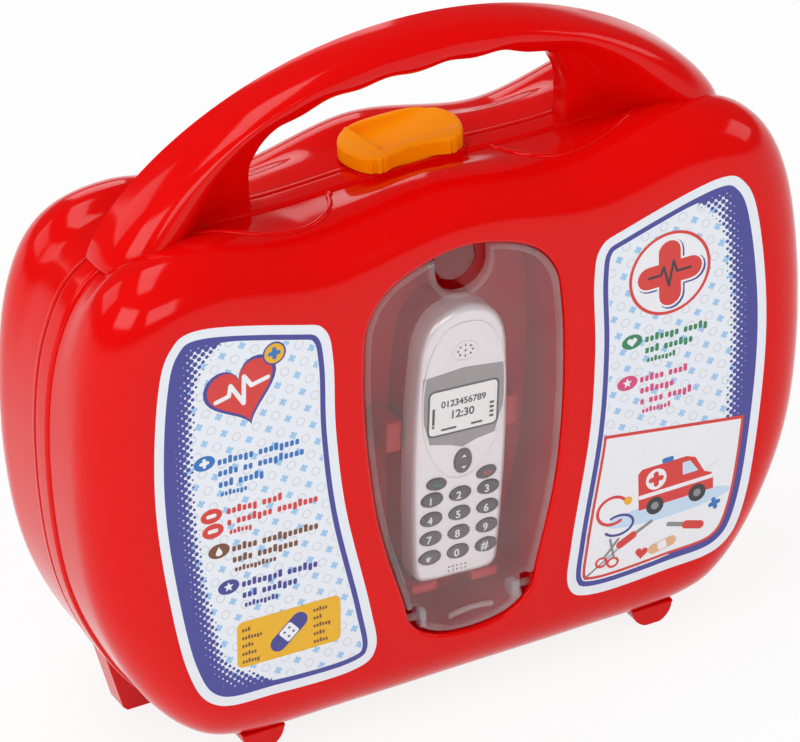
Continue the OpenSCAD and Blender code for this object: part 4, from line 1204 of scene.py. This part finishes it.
def build_label(side):
    """The left label for side -1, the right one for side 1: film, edge and printed motifs."""
    name = "label_left" if side < 0 else "label_right"
    outline = LABEL * (side, 1)
    if side < 0:
        outline = outline[::-1]
    part = flat_patch(outline, FACE_Y + 0.13, 1.3)
    rim = loft([ring(outline, FACE_Y + 0.13), ring(outline, FACE_Y + 0.19)], caps=(False, False))
    obj = new_object(name + "_film", part)
    mesh = obj.data
    q = np.array([(v.co.x / MM, v.co.z / MM) for v in mesh.vertices])
    d = np.maximum(edge_distance(q, outline), 0)
    # The broadness grows towards the label's outer edge
    outer = np.interp(q[:, 1], [25, 44, 80, 112, 144, 165], [80, 100.5, 106.5, 108.5, 106, 96])
    broad = 1 - smooth((outer - np.abs(q[:, 0]) - 9) / 12)
    broad *= smooth((q[:, 1] - 27) / 12) * (1 - 0.75 * smooth((q[:, 1] - 150) / 10))
    for key, values in (("edge_mm", d), ("broad", broad)):
        layer = mesh.attributes.new(key, "FLOAT", "POINT")
        layer.data.foreach_set("value", values.astype(np.float32))
    body = "front_half"
    finish_piece(obj, body, material("laminated_print"), 30, (name,))
    piece(name + "_edge", rim, body, material("ink_white"))
    by_ink = {}
    for level, (colour, shapes) in enumerate(left_motifs() if side < 0 else right_motifs()):
        group = shapes if isinstance(shapes, list) and len(np.shape(shapes[0])) == 2 else [shapes]
        for k, shape in enumerate(group):
            # Pieces of one line that overlap lie at depths of their own
            y = FACE_Y + 0.12 - 0.0025 * level - 0.0006 * (k % 4)
            by_ink.setdefault(colour, []).append(sheet_part(shape, y))
    for colour, parts in by_ink.items():
        piece(f"{name}_{colour}", join(*parts), body, material(colour))


# Phone

def build_phone():
    """Phone with its face, back, raised lines, display and inner parts."""
    silver = material("silver_lacquered_abs")
    seam, earpiece_z, display_z = 0.05, 82.3, 61.6
    front = loft([ring(inset(PHONE_OUT, e), d) for e, d in arc_steps(2.6, 10)] + [ring(PHONE_OUT, 6 - seam)])
    obj = new_object("phone_front_look", phone_place(front))
    cuts = []
    for x, z, w, h, turn, _ in KEYS.values():
        cuts.append(phone_place(plate(moved(oval(w + 0.5, h + 0.5), x, z, turn), -1, 1.6)))
    for a in range(8):
        t = math.pi / 4 * a
        hole = moved(oval(0.9, 0.9, 16), 2.6 * math.sin(t), earpiece_z + 1.9 * math.cos(t))
        cuts.append(phone_place(plate(hole, -1, 1.6)))
    cuts.append(phone_place(plate(moved(oval(0.9, 0.9, 16), 0, earpiece_z), -1, 1.6)))
    for i in range(5):
        for j in (-0.7, 0.7):
            cuts.append(phone_place(plate(moved(oval(0.8, 0.8, 16), -3 + 1.5 * i, 3.6 + j), -1, 1.6)))
    cuts.append(phone_place(plate(band_outline(), -1, 0.45)))
    boolean(obj, [join(*cuts)])
    finish_piece(obj, "front_half", silver, 38, ("phone_front_case",))
    back_edge = [ring(inset(PHONE_OUT, e), 11 - d) for e, d in arc_steps(2.6, 8)[::-1]]
    back = loft([ring(PHONE_OUT, 6 + seam)] + back_edge)
    piece("phone_back_look", phone_place(back), "front_half", silver, 38,
          ("phone_back_case",))
    # The raised shield-shaped line round the display and the navigation key
    shield = closed_spline(mirrored([
        (0, 92.5), (7.6, 90), (12.4, 82), (14.4, 71), (14.3, 59), (12.6, 50), (9.2, 43), (4.8, 38),
        (0, 36.7)]), 12)
    line = tube([(x, -0.02, z) for x, z in shield], 0.28)
    piece("phone_bezel_line", phone_place(line), "front_half", silver, 60)
    ear = tube([(x, 0.0, z) for x, z in moved(oval(9.2, 6.6), 0, earpiece_z)], 0.22)
    piece("phone_earpiece_ring", phone_place(ear), "front_half", silver, 60)
    for node, name in (("phone_display_card", "varnished_display"),
                       ("phone_key_mat", "moulded_silicone_rubber"),
                       ("phone_circuit_board", "solder_masked_board"), ("phone_sounder", "stamped_brass"),
                       ("phone_button_cells", "nickel_plated_steel"),
                       ("phone_battery_door", "silver_lacquered_abs"),
                       ("phone_screws", "zinc_plated_steel")):
        dress(node, name)
    # Printed display: a pale field in a dark frame, digits, a clock time, bars and two marks
    y = 0.06
    frame_p = moved(rounded_box(25.4, 16.8, 2.2), 0, display_z)
    field_p = moved(rounded_box(24.0, 15.4, 1.6), 0, display_z)
    piece("display_frame", phone_place(sheet_part(frame_p, y)), "front_half",
          material("ink_dark"))
    piece("display_field", phone_place(sheet_part(field_p, y - 0.015)), "front_half",
          material("varnished_glass_print"))
    signs = [text_part("0123456789", 3.2, 0, 64.4, y - 0.03, weight=0.1),
             text_part("12:30", 3.9, 0, 60.2, y - 0.03, weight=0.12)]
    for k in range(4):
        signs.append(sheet_part(moved(rounded_box(0.9, 0.9 + 0.9 * k, 0.1), -10.6, 57.0 + 1.6 * k), y - 0.03))
    for k in range(4):
        signs.append(sheet_part(moved(rounded_box(1.5, 0.9, 0.1), 10.2, 56.6 + 1.6 * k), y - 0.03))
    signs.append(sheet_part(moved(rounded_box(5.5, 0.8, 0.2), -5.0, 55.4), y - 0.03))
    signs.append(sheet_part(moved(rounded_box(4.0, 0.8, 0.2), 5.0, 55.4), y - 0.03))
    piece("display_signs", phone_place(join(*signs)), "front_half", material("ink_dark"))


def band_outline():
    """Grey field of the display card, which narrows to a point over the navigation key."""
    return moved([(-14.6, 75), (0, 76.4), (14.9, 75), (14.2, 60), (11.6, 50.5), (5, 49.4), (0.3, 47.6),
                  (-4.5, 49.4), (-11.6, 51), (-14.2, 60)])


def build_keys():
    """The phone's keys, each on a body of its own, with their signs."""
    dark = material("grained_abs_grey")
    for name, (x, z, w, h, turn, sign) in KEYS.items():
        p = oval(w, h, 48)
        rings = [ring(moved(oval(w + 0.9, h + 0.9, 48), x, z, turn), y) for y in (2.1, 1.5)]
        rings += [ring(moved(p, x, z, turn), y) for y in (1.5, -0.35)]
        for k in range(1, 7):
            a = math.pi / 2 * k / 6
            rings.append(ring(moved(p * (1 - 0.62 * (1 - math.cos(a)) ** 1.2), x, z, turn),
                              -0.35 - 0.53 * math.sin(a)))
        rings.append(ring(moved(p * 0.1, x, z, turn), -0.9))
        piece(name + "_look", phone_place(loft(rings)), name, dark, 40, (name,))
        if sign:
            part = text_part(sign, 4.4 if sign in "*#" else 3.7, x - 0.9, z, -0.93, weight=0.09)
            v, f = part
            q = (v[:, 0] - x) ** 2 / (w / 2) ** 2 + (v[:, 2] - z) ** 2 / (h / 2) ** 2
            v[:, 1] = -0.93 + 0.24 * q**2
            piece(name + "_sign", phone_place((v, f)), name, material("ink_white"))
    for name, colour in (("key_call", "ink_green"), ("key_end", "ink_red")):
        x, z, w, h, turn, _ = KEYS[name]
        piece(name + "_sign", phone_place(sheet_part(capsule(3.0, 0.8, turn, x, z), -0.9)), name,
              material(colour))
    x, z, w, h, turn, _ = KEYS["key_nav"]
    up = np.array([(0, 1.0), (0.9, 0), (-0.9, 0)])
    marks = join(sheet_part(moved(up, x, z + 1.6), -0.88), sheet_part(moved(up, x, z - 1.6, 180), -0.88))
    piece("key_nav_sign", phone_place(marks), "key_nav", material("ink_white"))


# Stage

def softbox(name, place, aim_z, width, height, power):
    """A rectangular studio lamp that faces the middle of the case at a height, in metres and watts."""
    data = bpy.data.lights.new(name, "AREA")
    data.shape = "RECTANGLE"
    data.size, data.size_y, data.energy = width, height, power
    obj = bpy.data.objects.new(name, data)
    bpy.context.scene.collection.objects.link(obj)
    z = np.array(place, float) - (0, 0, aim_z)
    z /= np.linalg.norm(z)
    x = np.cross((0, 0, 1), z)
    x /= np.linalg.norm(x)
    y = np.cross(z, x)
    obj.matrix_world = Matrix.Translation(place) @ Matrix(np.stack([x, y, z], 1).tolist()).to_4x4()


def background_rays(mat, path):
    """One for rays that the camera, metal or glass sends, and nothing for the light on the object."""
    both = add(mat, "Math", {"operation": "MAXIMUM"},
               links={0: (path, "Is Camera Ray"), 1: (path, "Is Glossy Ray")})
    return add(mat, "Math", {"operation": "MAXIMUM"},
               links={0: (both, "Value"), 1: (path, "Is Transmission Ray")})


# The camera, solved from the photograph: lens, place in metres and turn in degrees
SENSOR_MM, LENS_MM = 36, 290.14
CAMERA_AT = (-0.80398, -1.56032, 1.15148)
CAMERA_TURN = (59.08511, 1.58049, -28.15926)


def build_stage():
    """Paper floor, backdrop, lamps and the photograph's camera."""
    scene = bpy.context.scene
    floor_half, floor_z = 4000, -0.05
    corners = [(x * floor_half, y * floor_half, floor_z) for x, y in ((-1, -1), (-1, 1), (1, 1), (1, -1))]
    floor = new_object("studio_floor", (corners, [(3, 2, 1, 0)]))
    mat = new_material("white_studio_paper")
    place = (add(mat, "TexCoord"), "Object")
    fibre = add(mat, "TexNoise", Scale=1 / (2.5 * MM), Detail=3.0, links={"Vector": place})
    tone = add(mat, "MapRange", To_Min=0.92, To_Max=0.96, links={"Value": (fibre, "Fac")})
    colour = add(mat, "CombineColor", links={"Red": (tone, "Result"), "Green": (tone, "Result"),
                                             "Blue": (tone, "Result")})
    paper = add(mat, "BsdfDiffuse", links={"Color": (colour, "Color")})
    bright = add(mat, "Emission", Strength=1.0, Color=(1, 1, 1, 1))
    path = add(mat, "LightPath")
    # Near white to those rays, so that the object's shadow on the paper still shows
    seen = add(mat, "Math", {"operation": "MULTIPLY"},
               links={0: (background_rays(mat, path), "Value"), 1: 0.86})
    mix = add(mat, "MixShader", links={0: (seen, "Value"), 1: (paper, "BSDF"), 2: (bright, "Emission")})
    add(mat, "OutputMaterial", links={"Surface": (mix, "Shader")})
    floor.data.materials.append(mat)

    world = bpy.data.worlds.new("studio")
    scene.world = world
    world.use_nodes = True
    world.node_tree.nodes.clear()
    path = add(world, "LightPath")
    soft = add(world, "Background", Strength=0.42, Color=(1, 1, 1, 1))
    # The backdrop is white at eye level and below, and the room over it is dim
    place = add(world, "TexCoord")
    xyz = add(world, "SeparateXYZ", links={"Vector": (place, "Generated")})
    level = add(world, "MapRange", {"interpolation_type": "SMOOTHSTEP"}, From_Min=-0.05, From_Max=0.12,
                To_Min=1.0, To_Max=0.12, links={"Value": (xyz, "Z")})
    white = add(world, "Background", Color=(1, 1, 1, 1), links={"Strength": (level, "Result")})
    mix = add(world, "MixShader",
              links={0: (background_rays(world, path), "Value"), 1: (soft, "Background"),
                     2: (white, "Background")})
    add(world, "OutputWorld", links={"Surface": (mix, "Shader")})

    for name, place, aim_z, width, height, power in (
            ("left_softbox", (-2.1, -0.9, 1.5), 0.1, 1.5, 1.0, 20),
            ("front_softbox", (-0.5, -2.6, 1.5), 0.1, 1.6, 1.0, 19),
            ("right_softbox", (2.2, -0.6, 1.3), 0.12, 1.2, 1.0, 9),
            ("left_rear_softbox", (-1.7, 1.5, 1.5), 0.15, 1.3, 1.0, 8),
            ("rear_softbox", (0.55, 2.15, 0.95), 0.18, 0.8, 0.7, 3.5),
            ("top_softbox", (-0.45, 0.25, 2.2), 0.2, 1.7, 0.7, 14)):
        softbox(name, place, aim_z, width, height, power)

    cam = bpy.data.cameras.new("photo_camera")
    cam.sensor_width = SENSOR_MM
    cam.lens = LENS_MM
    cam.clip_end = 20
    obj = bpy.data.objects.new("photo_camera", cam)
    scene.collection.objects.link(obj)
    obj.location = CAMERA_AT
    obj.rotation_euler = [math.radians(a) for a in CAMERA_TURN]
    scene.camera = obj
    scene.view_settings.view_transform = "Standard"


# Add-on

class CaseSizes(bpy.types.PropertyGroup):
    """Sizes of the dressed case."""

    bump: bpy.props.FloatProperty(name="Finger bump depth", description="Depth of the bumps under the handle",
                                  default=0.0012, min=0, unit="LENGTH")
    lip: bpy.props.FloatProperty(name="Window lip radius",
                                 description="Rounding of the front face round the window",
                                 default=0.0012, min=0.0004, unit="LENGTH")


class CaseColours(bpy.types.PropertyGroup):
    """Colours of the case as sRGB hex values."""

    shell_red: bpy.props.StringProperty(name="Shell red", description="Colour of both shells",
                                        default="#E00604")
    shell_red_deep: bpy.props.StringProperty(name="Deep red", description="Darker red that varies the shells",
                                             default="#D80403")
    tray_red: bpy.props.StringProperty(name="Tray red", description="Colour of the insert", default="#B80808")
    latch_yellow: bpy.props.StringProperty(name="Latch yellow", description="Colour of the latch",
                                           default="#FF9C00")
    latch_orange: bpy.props.StringProperty(name="Latch orange", description="Deeper colour of the latch",
                                           default="#FA8C00")
    phone_silver: bpy.props.StringProperty(name="Phone silver", description="Colour of the phone",
                                           default="#F7F5F4")
    phone_shade: bpy.props.StringProperty(name="Phone shade", description="Darker flake of the phone",
                                          default="#EAE6E6")
    key_grey: bpy.props.StringProperty(name="Key grey", description="Colour of the keys", default="#55504F")
    key_dark: bpy.props.StringProperty(name="Dark key grey", description="Darker grey of the keys",
                                       default="#484444")
    display_grey: bpy.props.StringProperty(name="Display surround", description="Grey round the display",
                                           default="#9C9897")
    display_pale: bpy.props.StringProperty(name="Display field", description="Pale field of the display",
                                           default="#FDFDFA")
    label_white: bpy.props.StringProperty(name="Label white", description="Ground of the labels",
                                          default="#E6EAF1")
    label_pale_blue: bpy.props.StringProperty(name="Label pale blue",
                                              description="Small crosses on the labels",
                                              default="#9CC4E8")
    label_blue: bpy.props.StringProperty(name="Label blue", description="Border of the labels",
                                         default="#434394")
    door_haze: bpy.props.FloatProperty(name="Door haze", description="Share of milky haze in the door",
                                       default=0.04, min=0, max=1, subtype="FACTOR")


class CASE_OT_front_shell(bpy.types.Operator):
    """Build the front shell with its handle and feet"""

    bl_idname = "toy_case.front_shell"
    bl_label = "Front Shell"

    def execute(self, context):
        build_front()
        return {"FINISHED"}


class CASE_OT_rear_shell(bpy.types.Operator):
    """Build the rear shell and dress the hinge pins"""

    bl_idname = "toy_case.rear_shell"
    bl_label = "Rear Shell"

    def execute(self, context):
        build_rear()
        return {"FINISHED"}


class CASE_OT_latch(bpy.types.Operator):
    """Build the sliding latch"""

    bl_idname = "toy_case.latch"
    bl_label = "Latch"

    def execute(self, context):
        build_latch()
        return {"FINISHED"}


class CASE_OT_tray(bpy.types.Operator):
    """Build the insert behind the window"""

    bl_idname = "toy_case.tray"
    bl_label = "Phone Tray"

    def execute(self, context):
        build_tray()
        return {"FINISHED"}


class CASE_OT_phone(bpy.types.Operator):
    """Build the phone and dress what lies inside it"""

    bl_idname = "toy_case.phone"
    bl_label = "Phone"

    def execute(self, context):
        build_phone()
        return {"FINISHED"}


class CASE_OT_keys(bpy.types.Operator):
    """Build the phone's keys with their signs"""

    bl_idname = "toy_case.keys"
    bl_label = "Keys"

    def execute(self, context):
        build_keys()
        return {"FINISHED"}


class CASE_OT_door(bpy.types.Operator):
    """Build the clear door"""

    bl_idname = "toy_case.door"
    bl_label = "Clear Door"

    def execute(self, context):
        build_door()
        return {"FINISHED"}


class CASE_OT_labels(bpy.types.Operator):
    """Build both printed labels"""

    bl_idname = "toy_case.labels"
    bl_label = "Labels"

    def execute(self, context):
        build_label(-1)
        build_label(1)
        return {"FINISHED"}


class CASE_OT_stage(bpy.types.Operator):
    """Build the floor, lights, world and camera"""

    bl_idname = "toy_case.stage"
    bl_label = "Stage"

    def execute(self, context):
        build_stage()
        return {"FINISHED"}


OPERATORS = [CASE_OT_front_shell, CASE_OT_rear_shell, CASE_OT_latch, CASE_OT_tray, CASE_OT_phone,
             CASE_OT_keys, CASE_OT_door, CASE_OT_labels, CASE_OT_stage]


class CASE_PT_panel(bpy.types.Panel):
    """Sizes, colours and build steps of the toy case."""

    bl_label = "Toy Doctor Case"
    bl_idname = "CASE_PT_panel"
    bl_space_type = "VIEW_3D"
    bl_region_type = "UI"
    bl_category = "Toy Case"

    def draw(self, context):
        for group in (context.scene.case_sizes, context.scene.case_colours):
            for key in group.__annotations__:
                self.layout.prop(group, key)
        for op in OPERATORS:
            self.layout.operator(op.bl_idname)


CLASSES = [CaseSizes, CaseColours, *OPERATORS, CASE_PT_panel]


def register():
    """Register the add-on's classes and its settings on the scene."""
    for cls in CLASSES:
        bpy.utils.register_class(cls)
    bpy.types.Scene.case_sizes = bpy.props.PointerProperty(type=CaseSizes)
    bpy.types.Scene.case_colours = bpy.props.PointerProperty(type=CaseColours)


def unregister():
    """Take the settings and the classes away again."""
    del bpy.types.Scene.case_sizes
    del bpy.types.Scene.case_colours
    for cls in reversed(CLASSES):
        bpy.utils.unregister_class(cls)


def main():
    """Build everything step by step."""
    register()
    for op in OPERATORS:
        getattr(bpy.ops.toy_case, op.bl_idname.split(".")[1])()


if __name__ == "__main__":
    main()
